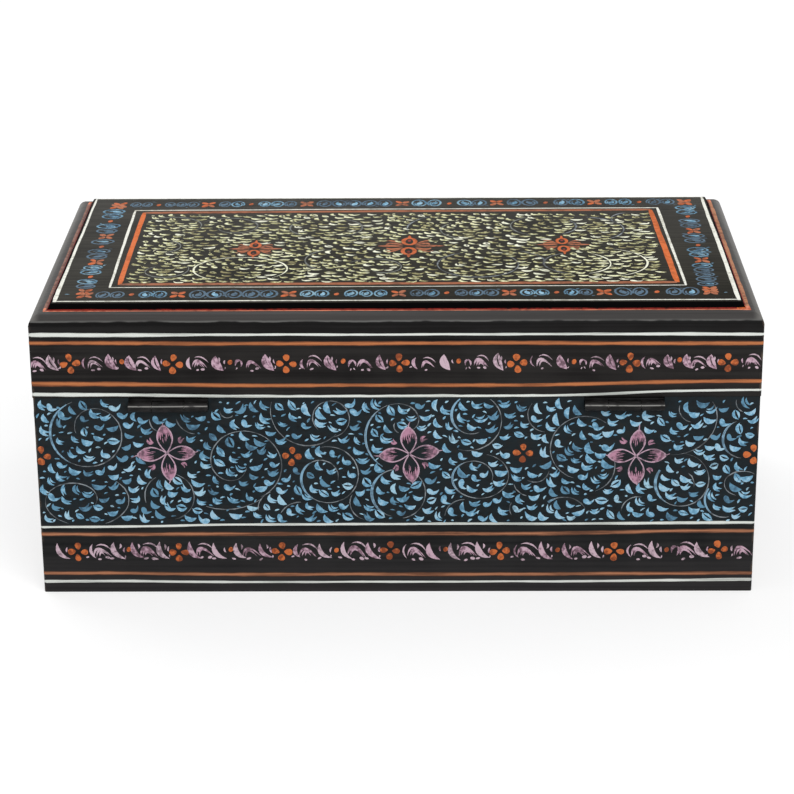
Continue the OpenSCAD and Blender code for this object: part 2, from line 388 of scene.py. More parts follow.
BODY_LACQUER = black_lacquer(
    "body_black_lacquer", (19, 20, 21), (37, 37, 37), foot=(45, 43, 44), field=(26, 34, 38)
)
LID_LACQUER = black_lacquer("lid_black_lacquer", (22, 20, 20), (38, 36, 35))
# the shoulder's lacquer: its last colour is a painted sheen on the top of the shoulder
SHOULDER_LACQUER = black_lacquer(
    "shoulder_black_lacquer", (18, 17, 17), (30, 29, 29), sheen_grey=(64, 62, 61)
)
PANEL_LACQUER = black_lacquer("panel_black_lacquer", (17, 15, 7), (31, 28, 17), gloss=0.045)
EDGE_BLACK_AND_SHADE = edge_black_and_shade("panel_edge_black_and_shade")
# the last colour is the barrel's crest line: rubbed steel and a painted highlight
HINGE_PAINT = painted_steel("black_hinge_paint", (13, 12, 12), (30, 29, 29), (126, 125, 122))
BARE_STEEL = dull_steel("pin_and_screw_steel")

# the paints of the long lines: full, thin and rim colours, then the other values of pulled_paint
LINE_PAINTS = {
    "white_line": (
        (212, 215, 210), (168, 172, 167), (128, 129, 122), 0.34, 0.54, (0.18, 0.55), (0.42, 0.66)
    ),
    "orange_line": ((176, 108, 66), (112, 66, 42), (56, 32, 25), 0.34, 0.56, (0.3, 0.66), (0.48, 0.9)),
    "base_orange_line": (
        (164, 110, 80), (90, 58, 43), (50, 34, 28), 0.34, 0.58, (0.36, 0.76), (0.55, 0.96)
    ),
}

# the paints of the strokes: full and thin colours, then the other values of brushed_paint
STROKE_PAINTS = {
    "panel_white": ((230, 230, 220), (192, 190, 178), 1.2, 14.0),
    "panel_orange": ((206, 100, 36), (176, 86, 34), 1.6, 14.0),
    "panel_brown": ((150, 86, 52), (112, 66, 42), 1.6, 12.0),
    "ledge_orange": ((218, 128, 96), (172, 86, 60), 1.8, 16.0),
    "ledge_rust": ((176, 118, 84), (136, 88, 64), 1.6, 12.0),
    "ledge_brown": ((134, 92, 78), (94, 64, 54), 1.6, 12.0),
    "crease_red": ((128, 24, 14), (46, 8, 5), 1.4, 24.0),
    "orange_flower": ((190, 102, 54), (126, 64, 38), 0.9, 6.0, 0.4, 0.58),
    "rust_flower": ((170, 98, 62), (106, 62, 42), 1.1, 7.0),
    "red_orange": ((192, 92, 38), (136, 66, 30), 1.4, 12.0),
    "mauve": ((172, 126, 147), (102, 77, 90), 0.8, 6.0, 0.39, 0.58),
    "band_mauve": ((170, 137, 154), (104, 80, 91), 0.8, 6.0, 0.38, 0.54, (190, 161, 175)),
    "band_pale": ((191, 166, 178), (126, 107, 116), 0.8, 6.0),
    "pale_mauve": ((182, 152, 168), (122, 100, 112), 0.8, 6.0, 0.36, 0.56),
    "sky_blue": ((114, 163, 191), (80, 121, 146), 1.1, 9.0, 0.36, 0.52, (149, 185, 205)),
    "deep_blue": ((90, 134, 160), (60, 90, 110), 1.2, 9.0),
    "pale_blue": ((152, 190, 209), (108, 136, 152), 1.0, 8.0),
    "scroll_blue": ((122, 160, 184), (86, 112, 130), 1.2, 8.0),
    "stem_grey": ((130, 137, 142), (68, 72, 75), 1.8, 10.0, 0.4, 0.58),
    "leaf_green": ((206, 207, 150), (130, 122, 82), 1.0, 8.0, 0.4, 0.56, (230, 230, 196)),
    "pale_green": ((238, 239, 216), (182, 184, 154), 1.0, 7.0),
    "panel_stem": ((112, 116, 112), (70, 72, 70), 1.2, 8.0),
    "border_blue": ((84, 130, 158), (52, 84, 106), 1.0, 7.0, 0.38, 0.54, (124, 160, 178)),
    "dull_blue": ((74, 100, 120), (46, 66, 82), 1.0, 7.0),
}

PAINTS = {name: pulled_paint(name + "_paint", *recipe) for name, recipe in LINE_PAINTS.items()}
for name, recipe in STROKE_PAINTS.items():
    PAINTS[name] = brushed_paint(name + "_paint", *recipe)

# ---------------------------------------------------------------- brush strokes, drawn flat

TIP = 0.05  # share of the full width left at a pointed tip


def pressure(t, peak):
    """How hard the brush is pressed at t, from 0 to 1 along a pointed stroke."""
    rise = t / peak if t < peak else (1 - t) / (1 - peak)
    return max(TIP, math.sin(math.pi / 2 * min(1.0, rise)) ** 0.85)


def sweep(start, bend, end, width, peak=0.45, stations=7):
    """A pointed stroke from start to end, pulled towards bend, as (across, up, half width) stations."""
    stroke = []
    for i in range(stations):
        t = i / (stations - 1)
        across = (1 - t) ** 2 * start[0] + 2 * t * (1 - t) * bend[0] + t * t * end[0]
        up = (1 - t) ** 2 * start[1] + 2 * t * (1 - t) * bend[1] + t * t * end[1]
        stroke.append((across, up, width / 2 * pressure(t, peak)))
    return stroke


def off_from(centre, reach, angle):
    """The point that lies this far from the centre in the direction of the angle."""
    return (centre[0] + reach * math.cos(angle), centre[1] + reach * math.sin(angle))


def dab(centre, angle, length, width, stations=6):
    """A round dab, as a petal or a dot."""
    stroke = []
    for i in range(stations):
        s = -math.cos(math.pi * i / (stations - 1))
        swell = max(0.12, math.sqrt(max(0.0, 1 - s * s)))
        stroke.append((*off_from(centre, s * length / 2, angle), width / 2 * swell))
    return stroke


def set_down(strokes, centre, angle=0.0, size=1.0, flip=1.0):
    """The strokes of a motif, turned, scaled and moved to their place on the face."""
    turn_x = math.cos(angle)
    turn_y = math.sin(angle)
    placed = []
    for stroke in strokes:
        moved = []
        for x, y, half in stroke:
            across = centre[0] + size * (x * flip * turn_x - y * turn_y)
            up = centre[1] + size * (x * flip * turn_y + y * turn_x)
            moved.append((across, up, size * half))
        placed.append(moved)
    return placed


def shaken(point, rng, reach=0.15):
    return (point[0] + rng.uniform(-reach, reach), point[1] + rng.uniform(-reach, reach))


def any_phase(rng):
    return rng.uniform(0, 6.28)


def too_near(spot, blots):
    """Whether the spot lies on one of the blots, which are (across, up, radius)."""
    return any(math.hypot(spot[0] - x, spot[1] - y) < reach for x, y, reach in blots)


def leaf_strokes(rng):
    """One leaf, about 3 long and 2 high, hollow side up: a fat bowed dab, often with a thumb."""
    half = rng.uniform(1.3, 1.6)
    bow = rng.uniform(0.75, 1.15)
    kind = rng.random()
    left = shaken((-half, bow * 0.7), rng, 0.18)
    right = shaken((half, bow * 0.6), rng, 0.18)
    belly = shaken((-0.15, -bow * 1.1), rng, 0.2)
    if kind < 0.33:  # a full moon
        return [sweep(left, belly, right, rng.uniform(1.3, 1.7), rng.uniform(0.36, 0.55))]
    if kind < 0.62:  # a mitten: the thumb leaves the belly and points the same way as the tip
        thumb = shaken((half * 0.72, bow + 0.45), rng)
        return [
            sweep(left, belly, right, rng.uniform(1.0, 1.3), 0.42),
            sweep((-0.75, 0.25), (0.0, -0.25), thumb, rng.uniform(0.65, 0.9), 0.4, 6),
        ]
    if kind < 0.74:  # a seed with a slit down it
        return [
            sweep(left, belly, right, 0.95, 0.5),
            sweep((-half * 0.85, bow * 0.6), (0.0, bow * 1.25), (half * 0.9, bow * 0.55), 0.7, 0.45, 6),
        ]
    if kind < 0.9:  # a comma: a round head at the foot and a tail that curls up
        tail = shaken((half * 0.8, bow * 1.1), rng)
        return [
            dab(shaken((-0.45, -0.2), rng), -0.4, rng.uniform(1.7, 2.1), rng.uniform(1.35, 1.65)),
            sweep((-0.9, -0.35), (0.6, -1.0), tail, 1.0, 0.35),
        ]
    return [  # two thin bows, one in the other
        sweep(left, belly, right, rng.uniform(0.75, 0.95), 0.42),
        sweep((-half * 0.7, bow * 1.0), (0.0, 0.0), shaken((half * 0.7, bow * 1.1), rng), 0.6, 0.5, 6),
    ]


def small_dabs(centre, rng):
    """A leftover touch of the brush between the leaves."""
    angle = rng.uniform(-0.5, 1.1)
    length = rng.uniform(0.7, 1.5)
    lift = rng.uniform(0.05, 0.35)
    width = rng.uniform(0.36, 0.62)
    tick = sweep((-length / 2, 0), (0, lift), (length / 2, 0), width, 0.4, 5)
    return set_down([tick], centre, angle)


# ---------------------------------------------------------------- scrolls of stem


def scroll(across, up, radius, start, end, to_across=None, to_up=None, to_radius=None, squash=1.0):
    """A stem that runs round a centre from one angle to another while centre and radius drift."""
    to_across = across if to_across is None else to_across
    to_up = up if to_up is None else to_up
    to_radius = radius if to_radius is None else to_radius
    steps = max(4, int(abs(end - start) / 9))
    points = []
    for i in range(steps + 1):
        t = i / steps
        angle = math.radians(start + (end - start) * t)
        reach = radius + (to_radius - radius) * t
        x = across + (to_across - across) * t + reach * math.cos(angle)
        y = up + (to_up - up) * t + reach * squash * math.sin(angle)
        points.append((x, y))
    hub = ((across + to_across) / 2, (up + to_up) / 2)
    return {"points": points, "hub": hub}


# the stems of the blue field, left to right: each a scroll's across, up, radius, start and end, and what
# its centre and radius come to
FIELD_STEMS = (
    (-77.2, 42.2, 10.2, 108, 548, -74.6, 44.3, 5.2),
    (-77.6, 24.7, 11.3, 50, -385, -82.0, 25.2, 6.0, 0.68),
    (-57.2, 26.4, 6.1, 120, 197),
    (-57.2, 26.4, 6.3, 72, -78),
    (-58.3, 46.9, 3.0, 170, 265),
    (-49.8, 48.2, 4.9, 190, 265),
    (-43.0, 38.2, 15.4, 251, 305),
    (-37.4, 36.2, 10.4, -72, 335, -41.4, 35.9, 4.2),
    (-30.0, 23.0, 4.9, 110, 185),
    (-41.9, 49.4, 1.8, 180, 320),
    (-21.9, 49.4, 9.3, 165, 318),
    (-16.6, 47.5, 5.2, 272, 585, -16.4, 47.3, 4.2),
    (-16.5, 31.6, 8.4, 108, -362, -19.0, 30.9, 4.3),
    (-24.3, 19.2, 5.6, 88, 152),
    (-7.0, 24.6, 4.8, 150, 255),
    (-0.3, 42.4, 8.6, 248, -50, 0.8, 47.3, 4.2),
    (1.2, 45.2, 1.8, 150, 250),
    (0.2, 27.2, 6.5, 88, 258),
    (0.2, 27.2, 7.0, 50, -80),
    (18.6, 46.8, 8.4, -112, 285, 19.4, 47.8, 4.4),
    (21.2, 31.3, 7.6, 80, -368, 19.0, 31.2, 4.9, 0.84),
    (16.8, 20.6, 4.8, 88, 175),
    (37.3, 48.3, 4.7, 140, 265),
    (46.8, 39.3, 8.5, 52, 252),
    (34.6, 33.6, 3.5, 235, 352),
    (33.5, 30.6, 4.3, 195, 258),
    (31.2, 22.9, 2.9, 145, 218),
    (41.8, 21.4, 5.0, 140, 18, 43.6, 21.4, 4.0),
    (47.5, 34.3, 7.0, 15, -72),
    (60.5, 21.9, 4.2, 78, 176),
    (68.6, 48.4, 11.0, -92, 30, 70.2, 47.0, 9.2),
    (73.8, 49.9, 3.8, 170, 258),
    (71.0, 30.4, 7.4, 88, -212, 71.0, 30.0, 6.2),
    (70.6, 29.4, 3.8, 55, -12),
    (86.2, 41.6, 5.1, 110, 265),
    (86.4, 29.6, 4.5, 40, 250, None, None, None, 0.75),
    (82.2, 25.4, 5.0, 145, 285),
    (86.6, 51.4, 2.6, 165, 250),
)


def stem_stroke(points, rng, thin, thick):
    """A stem's stroke: it swells and thins as the brush turns, and its hand is never quite steady."""
    phase = any_phase(rng)
    waves = rng.uniform(1.0, 2.2)
    last = len(points) - 1
    stroke = []
    for i, (x, y) in enumerate(points):
        t = i / last
        swell = 0.5 + 0.5 * math.sin(phase + waves * 6.28 * t)
        ends = min(1.0, 0.25 + 6 * t, 0.25 + 6 * (1 - t))
        half = (thin + (thick - thin) * swell) / 2 * ends
        stroke.append((x + rng.uniform(-0.04, 0.04), y + rng.uniform(-0.04, 0.04), half))
    return stroke


def swelling(stem, rng):
    """The fat blue stretch down the left of a scroll, where the brush is pressed."""
    points = stem["points"]
    hub = stem["hub"]
    reach = max(hub[0] - x for x, _ in points)
    if reach < 3:
        return None
    fat = rng.uniform(0.4, 0.72)
    stroke = []
    for x, y in points:
        lefthand = (hub[0] - x) / reach
        if lefthand > 0.45:
            stroke.append((x, y, 0.06 + fat / 2 * (lefthand - 0.45) / 0.55))
        elif len(stroke) > 3:
            break
        else:
            stroke = []
    return stroke if len(stroke) > 3 else None


def inside(spot, area):
    """Whether the spot lies in the area, which is (left, right, low, high)."""
    left, right, low, high = area
    return left <= spot[0] <= right and low <= spot[1] <= high


def clear_runs(stem, area, blots):
    """The stretches of a stem that lie in the area, each with its points that miss the blots."""
    run = []
    for point in stem["points"] + [(math.inf, math.inf)]:
        if inside(point, area):
            run.append(point)
            continue
        if len(run) > 2:
            yield run, [point for point in run if not too_near(point, blots)]
        run = []


def fill_with_leaves(area, stems, keep_off, rng, along=3.05, across=2.25, room=1.1):
    """Places for leaves: (place, facing) pairs set as close as they go without touching.

    Room is the gap to the stems. Places beside the stems are tried first, and then any.
    """
    left, right, low, high = area
    stem_places = np.array([point for stem in stems for point in stem["points"]])
    stem_hubs = np.array([stem["hub"] for stem in stems for _ in stem["points"]])
    tries = []
    for stem in stems:
        hub = np.array(stem["hub"])
        for point in stem["points"][1:-1:2]:
            point = np.array(point)
            outward = point - hub
            outward = outward / (np.hypot(*outward) + 1e-6)
            for side in (-1, 1):
                tries.append(point + outward * side * rng.uniform(1.7, 2.1))
    for _ in range(int((right - left) * (high - low) * 2.2)):
        tries.append(np.array((rng.uniform(left, right), rng.uniform(low, high))))
    places = np.zeros((0, 2))
    chosen = []
    for spot in tries:
        if not inside(spot, area):
            continue
        gaps = np.hypot(*(stem_places - spot).T)
        nearest = int(gaps.argmin())
        if gaps[nearest] < room or too_near(spot, keep_off):
            continue
        to_hub = math.atan2(*(stem_hubs[nearest] - spot)[::-1])
        lean_x = math.cos(1.05) + 0.55 * math.cos(to_hub)
        lean_y = math.sin(1.05) + 0.55 * math.sin(to_hub)
        facing = math.atan2(lean_y, lean_x) + rng.gauss(0, 0.24)
        if len(places):
            apart = places - spot
            over = apart @ np.array((math.sin(facing), -math.cos(facing)))
            forth = apart @ np.array((math.cos(facing), math.sin(facing)))
            if ((over / along) ** 2 + (forth / across) ** 2).min() < 1:
                continue
        places = np.vstack((places, spot))
        chosen.append((tuple(spot), facing))
    return chosen


def sprinkle(area, tries, spots, stems, stem_gap, keep_off, gap, rng):
    """Places for small dabs, this far from the stems and this far from the leaves and each other."""
    left, right, low, high = area
    places = np.array([place for place, _ in spots])
    blots = keep_off + [(x, y, stem_gap) for stem in stems for x, y in stem["points"]]
    for _ in range(tries):
        spot = (rng.uniform(left, right), rng.uniform(low, high))
        if too_near(spot, blots) or np.hypot(*(places - spot).T).min() < gap:
            continue
        places = np.vstack((places, spot))
        yield spot


# ---------------------------------------------------------------- flowers and band motifs


def petal_rim(t, wide):
    """Half the width of a petal at t, from 0 at the heart to 1 at the tip."""
    return wide * math.sin(math.pi * min(1.0, t) ** 1.15) ** 0.78


def filled_petal(length, wide, rng, line=0.4, hairs=7):
    """A petal laid along +x: its outline, and hairs pulled from the tip in, leaving the heart dark."""
    steps = [0.01 + 0.98 * i / 12 for i in range(13)]
    outline = []
    for side in (-1, 1):
        outline.append(
            [(0.1 + length * t, side * petal_rim(t, wide), line / 2 * (0.7 + 0.4 * t)) for t in steps]
        )
    fill = []
    for k in range(hairs):
        aside = -0.86 + 1.72 * k / (hairs - 1)
        inner = rng.uniform(0.54, 0.68) - 0.14 * abs(aside)
        stroke = []
        for i in range(7):
            t = 0.97 + (inner - 0.97) * i / 6
            room = petal_rim(t, wide)
            breadth = room * 1.3 / hairs * (1.0 if i < 4 else 1.0 - 0.3 * (i - 3))
            stroke.append((length * t, aside * room, max(0.05, breadth)))
        fill.append(stroke)
    return outline, fill


def big_flower(centre, rng, layers):
    """A four-petalled flower with dark hearts, a tendril from each tip and a spot between petals."""
    for quarter in range(4):
        angle = math.pi / 2 * quarter + rng.uniform(-0.11, 0.11)
        length = rng.uniform(6.9, 7.5)
        outline, fill = filled_petal(length, rng.uniform(1.7, 1.95), rng)
        layers["pale_mauve"] += set_down(outline, centre, angle)
        layers["mauve"] += set_down(fill, centre, angle)
        hatch = []
        for _ in range(3):
            aside = rng.uniform(-0.8, 0.8)
            start = length * rng.uniform(0.34, 0.46)
            end = (start, aside * 0.8)
            hatch.append(sweep((start + 1.5, aside), (start + 0.7, aside), end, 0.24, 0.4, 4))
        layers["mauve"] += set_down(hatch, centre, angle)
        tail = rng.uniform(1.0, 2.3)
        end = (length + tail, rng.uniform(-0.9, 0.9))
        tendril = sweep((length - 0.6, 0), (length + tail * 0.5, 0.05), end, 0.36, 0.15, 6)
        layers["pale_mauve"] += set_down([tendril], centre, angle)
        corner = angle + math.pi / 4 + rng.uniform(-0.08, 0.08)
        spot_at = off_from(centre, rng.uniform(4.9, 5.4), corner)
        spot = [
            sweep((-0.9, 0.1), (0, 0.7), (0.9, 0.2), 0.8, 0.5, 5),
            sweep((-0.6, -0.5), (0.1, -0.1), (0.9, -0.7), 0.5, 0.4, 5),
            dab((-0.5, -0.2), 0.4, 0.9, 0.8, 5),
        ]
        spot_turn = corner + rng.uniform(-0.5, 0.5)
        layers["mauve"] += set_down(spot, spot_at, spot_turn, rng.uniform(0.8, 1.05))


def small_flower(centre, rng, layers, left=-math.inf, right=math.inf):
    """Four drops that point to an empty heart; a petal that would leave the face isn't painted."""
    turn = rng.uniform(-0.14, 0.14)
    for quarter in range(4):
        angle = turn + math.pi / 2 * quarter
        at = off_from(centre, rng.uniform(1.46, 1.66), angle)
        if not left + 0.7 <= at[0] <= right - 0.7:
            continue
        petal = dab(at, angle + rng.uniform(-0.3, 0.3), rng.uniform(1.75, 2.1), rng.uniform(1.7, 2.1), 7)
        drop = [(x, y, half * (0.52 + 0.14 * k)) for k, (x, y, half) in enumerate(petal)]
        layers["orange_flower"].append(drop)


def fan_motif(rng):
    """Nested bows that rise to the left and come down to the right, with small touches under them."""
    main = []
    for k in range(rng.choice((2, 2, 3))):
        grow = 1.0 - 0.32 * k
        start = shaken((-1.85 * grow, -1.15 + 0.1 * k), rng, 0.12)
        bend = shaken((-1.35 * grow, 3.0 * grow - 0.3), rng, 0.2)
        end = shaken((1.95 * grow, -1.3 + 0.2 * k), rng, 0.2)
        main.append(sweep(start, bend, end, rng.uniform(0.5, 0.85 - 0.1 * k), 0.4, 9))
    under = shaken((-0.6, -1.8), rng, 0.25)
    touches = [dab(under, rng.uniform(-0.4, 0.5), rng.uniform(0.6, 1.1), 0.55, 5)]
    if rng.random() < 0.65:
        bend = shaken((0.6, 2.5), rng, 0.2)
        touches.append(sweep((-1.3, 1.5), bend, shaken((2.1, 0.3), rng), 0.42, 0.5, 7))
    if rng.random() < 0.6:
        touches.append(dab(shaken((1.0, -1.5), rng, 0.2), rng.uniform(-0.6, 0.3), 1.0, 0.75, 5))
    return main, touches


def lean_leaf(rng):
    """A full three-cornered leaf: its tip stands up and its tail runs out to the lower right."""
    tip = shaken((-0.2, 2.2), rng, 0.2)
    tail = shaken((1.5, -1.9), rng, 0.2)
    fat = rng.uniform(1.0, 1.45)
    main = [
        sweep(tip, shaken((-2.0, -0.5), rng), tail, fat, 0.5, 8),
        sweep(tip, shaken((0.35, 0.1), rng), tail, fat * 0.8, 0.5, 7),
    ]
    touches = []
    if rng.random() < 0.5:
        touches.append(sweep((0.75, 1.6), (0.9, 0.9), shaken((0.6, 0.2), rng), 0.5, 0.4, 5))
    if rng.random() < 0.4:
        touches.append(sweep((1.5, -1.5), (1.9, -1.7), (2.1, -1.1), 0.35, 0.4, 4))
    return main, touches


def crescent_leaf(rng):
    """A lean bowed leaf: fat at the shoulder, it runs down to the right and turns up at its tail."""
    tip = shaken((-0.75, 2.0), rng, 0.2)
    belly = shaken((-1.3, -0.9), rng, 0.25)
    tail = shaken((1.7, -1.7), rng, 0.2)
    main = [sweep(tip, belly, tail, rng.uniform(1.1, 1.5), 0.42, 8)]
    touches = []
    if rng.random() < 0.6:
        touches.append(sweep((0.5, 1.7), (0.9, 1.1), shaken((0.5, 0.5), rng), 0.5, 0.4, 5))
    if rng.random() < 0.5:
        touches.append(dab(shaken((-1.0, -1.7), rng, 0.2), rng.uniform(-0.3, 0.6), 0.9, 0.5, 5))
    return main, touches


def curl_motif(rng):
    """A thin bow, open to the right."""
    top = shaken((0.3, 1.5), rng)
    bend = shaken((-1.1, -0.1), rng, 0.25)
    foot = shaken((0.7, -1.6), rng)
    main = [sweep(top, bend, foot, rng.uniform(0.4, 1.1), 0.5, 7)]
    touches = []
    if rng.random() < 0.5:
        touches.append(dab(shaken((-0.8, -1.3), rng), 0.3, 0.7, 0.4, 5))
    return main, touches


def knot_motif(rng):
    """Two short touches leaning together, with a split foot."""
    foot = shaken((-0.9, -0.7), rng)
    bend = shaken((-0.9, 1.1), rng)
    top = shaken((0.4, 0.7), rng)
    main = [
        sweep(foot, bend, top, rng.uniform(0.6, 0.9), 0.5, 6),
        sweep(shaken((0.1, 0.9), rng), (0.9, 0.3), shaken((0.6, -0.8), rng), 0.55, 0.5, 5),
    ]
    touches = [
        sweep((-0.5, -1.2), (-0.4, -1.4), (-0.8, -1.8), 0.36, 0.4, 4),
        sweep((0.1, -1.1), (0.2, -1.4), (0.5, -1.7), 0.36, 0.4, 4),
    ]
    return main, touches[: rng.randrange(3)]


def tick_motif(rng):
    """A short upright touch, often with a dot under it."""
    top = shaken((0.1, 1.0), rng)
    foot = shaken((0.1, -0.3), rng)
    main = [sweep(top, (-0.25, 0.3), foot, rng.uniform(0.4, 0.6), 0.5, 5)]
    touches = []
    if rng.random() < 0.6:
        touches.append(sweep((0.2, -0.9), (0.3, -1.2), (0.1, -1.6), 0.34, 0.4, 4))
    return main, touches


# what stands between two flowers of a band, as shares of the way from one to the next
BAND_ORDER = (
    (curl_motif, 0.135),
    (fan_motif, 0.24),
    (lean_leaf, 0.385),
    (tick_motif, 0.452),
    (knot_motif, 0.585),
    (fan_motif, 0.7),
    (lean_leaf, 0.83),
    (tick_motif, 0.895),
)


BAND_MARGIN = 1.7  # from a band's last motif to the corner of the box

# each band's own leaf, the share of its motifs that are pale, and their size
LID_BAND_STYLE = (lean_leaf, 0.15, 0.89)
BASE_BAND_STYLE = (crescent_leaf, 0.3, 1.12)


def flower_band(level, flowers, half, style, rng, layers):
    """A band of flowers with mauve motifs between them, and a small dot half way."""
    leaf, pale, full = style
    beyond = half + FLOWER_PITCH * 0.62
    stops = (-beyond, *flowers, beyond)
    for at in flowers:
        small_flower((at, level + rng.uniform(-0.2, 0.2)), rng, layers)
    for start, end in zip(stops, stops[1:]):
        gap = end - start
        for motif, share in BAND_ORDER:
            at = start + gap * (share + rng.uniform(-0.006, 0.006))
            if abs(at) >= half - BAND_MARGIN:
                continue
            if motif is curl_motif and rng.random() < 0.3:
                motif = tick_motif
            if motif in (curl_motif, knot_motif) and rng.random() < 0.3:
                motif = lean_leaf
            main, touches = leaf(rng) if motif is lean_leaf else motif(rng)
            grown = full * rng.uniform(1.0, 1.14) * min(1.0, 0.08 + gap / FLOWER_PITCH)
            centre = (at, level + 0.1 + rng.uniform(-0.2, 0.2))
            angle = rng.uniform(-0.12, 0.12)
            paint = "band_pale" if rng.random() < pale else "band_mauve"
            layers[paint] += set_down(main, centre, angle, grown)
            layers["band_pale"] += set_down(touches, centre, angle, grown)
        middle = start + gap * 0.505
        if abs(middle) < half - BAND_MARGIN - 0.3:
            spot = dab((middle, level + rng.uniform(0.2, 0.7)), rng.uniform(0.9, 1.8), 1.35, 1.3)
            layers["orange_flower"].append(spot)


def plain_flowers(half, rng):
    """Flower places for a band that has no listed places."""
    count = int((half - 4) / FLOWER_PITCH)
    return [k * FLOWER_PITCH + rng.uniform(-0.9, 0.9) for k in range(-count, count + 1)]


LEAF_EDGE = 1.35  # from the edge of the field to the middle of its last leaf


def fresh_layers():
    return {name: [] for name in PAINTS}


def blue_field(half, stems, big, small, holes, rng, layers):
    """Scrolls and leaves round the flowers, between the white lines, half the field to each side."""
    low = FIELD_LOW
    high = FIELD_HIGH
    kept = []
    for stem in stems:
        for run, clear in clear_runs(stem, (-half + 0.5, half - 0.5, low + 0.3, high + 0.1), holes):
            if len(clear) < 4 or len(clear) < len(run) * 0.7:
                continue
            kept.append({"points": clear, "hub": stem["hub"]})
            layers["stem_grey"].append(stem_stroke(clear, rng, 0.17, 0.33))
            if rng.random() < 0.45 and len(clear) > 12:
                fat_part = swelling(kept[-1], rng)
                if fat_part:
                    layers["scroll_blue"].append(fat_part)
    for centre in big:
        big_flower(centre, rng, layers)
    for centre in small:
        small_flower(centre, rng, layers, -half - 0.3, half + 0.3)
    keep_off = list(holes)
    for centre in big:
        keep_off.append((*centre, 3.2))
        for quarter in range(4):
            angle = math.pi / 2 * quarter
            keep_off.append((*off_from(centre, 4.4, angle), 3.4))
            keep_off.append((*off_from(centre, 5.1, angle + math.pi / 4), 2.2))
    keep_off += [(x, y, 4.1) for x, y in small]
    leaf_area = (-half + LEAF_EDGE, half - LEAF_EDGE, low + LEAF_EDGE, high - LEAF_EDGE)
    spots = fill_with_leaves(leaf_area, kept, keep_off, rng)
    for place, facing in spots:
        size = rng.uniform(0.87, 1.13)
        paint = rng.choices(("sky_blue", "deep_blue", "pale_blue"), (0.82, 0.15, 0.03))[0]
        flip = 1.0 if rng.random() < 0.85 else -1.0
        layers[paint] += set_down(leaf_strokes(rng), place, facing - math.pi / 2, size, flip)
    dab_area = (-half + 1, half - 1, low + 0.8, high - 0.8)
    tries = int(2 * half * (high - low) * 0.9)
    for spot in sprinkle(dab_area, tries, spots, kept, 0.75, keep_off, 1.72, rng):
        paint = rng.choices(("pale_blue", "sky_blue", "deep_blue"), (0.25, 0.45, 0.3))[0]
        layers[paint] += small_dabs(spot, rng)


# ---------------------------------------------------------------- the lid's panel


def long_stroke(start, end, width, rng, wander, end_width):
    """A long line pulled by hand: it wanders slowly and its width breathes."""
    length = math.hypot(end[0] - start[0], end[1] - start[1])
    count = int(length / 3)
    along = ((end[0] - start[0]) / length, (end[1] - start[1]) / length)
    drift = rng.uniform(-1, 1)
    breath = rng.uniform(-1, 1)
    stroke = []
    for i in range(count + 1):
        t = i / count
        drift = 0.86 * drift + rng.uniform(-0.5, 0.5)
        breath = 0.8 * breath + rng.uniform(-0.6, 0.6)
        aside = wander * drift
        half = (width + (end_width - width) * t) / 2 * (1 + 0.12 * breath)
        if i in (0, count):
            half *= 0.7
        x = start[0] + along[0] * length * t - along[1] * aside
        y = start[1] + along[1] * length * t + along[0] * aside
        stroke.append((x, y, half))
    return stroke


def ring_motif(rng):
    """An upright scroll, wound once and a quarter, with a fat comma in its loop; 4 across and 7 high."""
    wide = rng.uniform(1.7, 2.1)
    tall = rng.uniform(2.8, 3.3)
    outline = []
    count = 19
    start = rng.uniform(3.5, 4.1)
    for i in range(count):
        t = i / (count - 1)
        angle = start - t * 7.4
        shrink = 1.0 - 0.42 * max(0.0, t - 0.45) / 0.55
        half = 0.25 + 0.08 * math.sin(3.1 * t)
        outline.append((wide * shrink * math.cos(angle), tall * shrink * math.sin(angle), half))
    comma = [
        dab(shaken((0.1, -0.3), rng, 0.2), 1.3, rng.uniform(2.3, 3.0), rng.uniform(1.4, 1.9), 7),
        sweep((0.0, -0.9), (1.1, 0.2), shaken((0.2, 2.0), rng), 0.9, 0.4, 6),
    ]
    return outline, comma


def cross_flower(centre, rng, layers):
    """A border flower: four petals set crosswise at the corners, close round a dark heart."""
    for quarter in range(4):
        angle = math.pi / 4 + math.pi / 2 * quarter + rng.uniform(-0.1, 0.1)
        at = (centre[0] + 1.35 * math.cos(angle), centre[1] + 1.7 * math.sin(angle))
        lean = math.atan2(1.35 * math.sin(angle), math.cos(angle))
        paint = rng.choice(("rust_flower", "rust_flower", "red_orange"))
        layers[paint].append(dab(at, lean, rng.uniform(2.2, 2.7), rng.uniform(1.4, 1.8), 7))


CROSS_ROOM = 2.7  # half of what a border flower takes up along its side
RING_PITCH = 4.2  # the room in which a scroll of the border has its full size

# one side of the panel's border: where its flowers stand, and the scrolls and dots in the gap after each
NEAR_ORDER = (
    (-77.3, "oo.oo"),
    (-54.2, "ooooo"),
    (-26.6, "oo.ooo"),
    (0.7, "oo.ooo"),
    (28.2, "oo.oo"),
    (51.6, "oo.oo"),
    (78.0, ""),
)
FAR_ORDER = (
    (-77.0, "oo.ooo"),
    (-52.6, "oo.ooo"),
    (-25.4, "ooooo"),
    (0.9, "oo.oo"),
    (27.0, "oo.oo"),
    (54.0, "oo.oo"),
    (78.8, ""),
)
LEFT_ORDER = ((-36.2, "oo.oo"), (-12.2, "oo.o"), (9.8, "oo.oo"), (37.2, ""))
RIGHT_ORDER = ((-35.8, "ooooo"), (-12.0, "oo.oo"), (13.2, "oo.oo"), (39.2, ""))


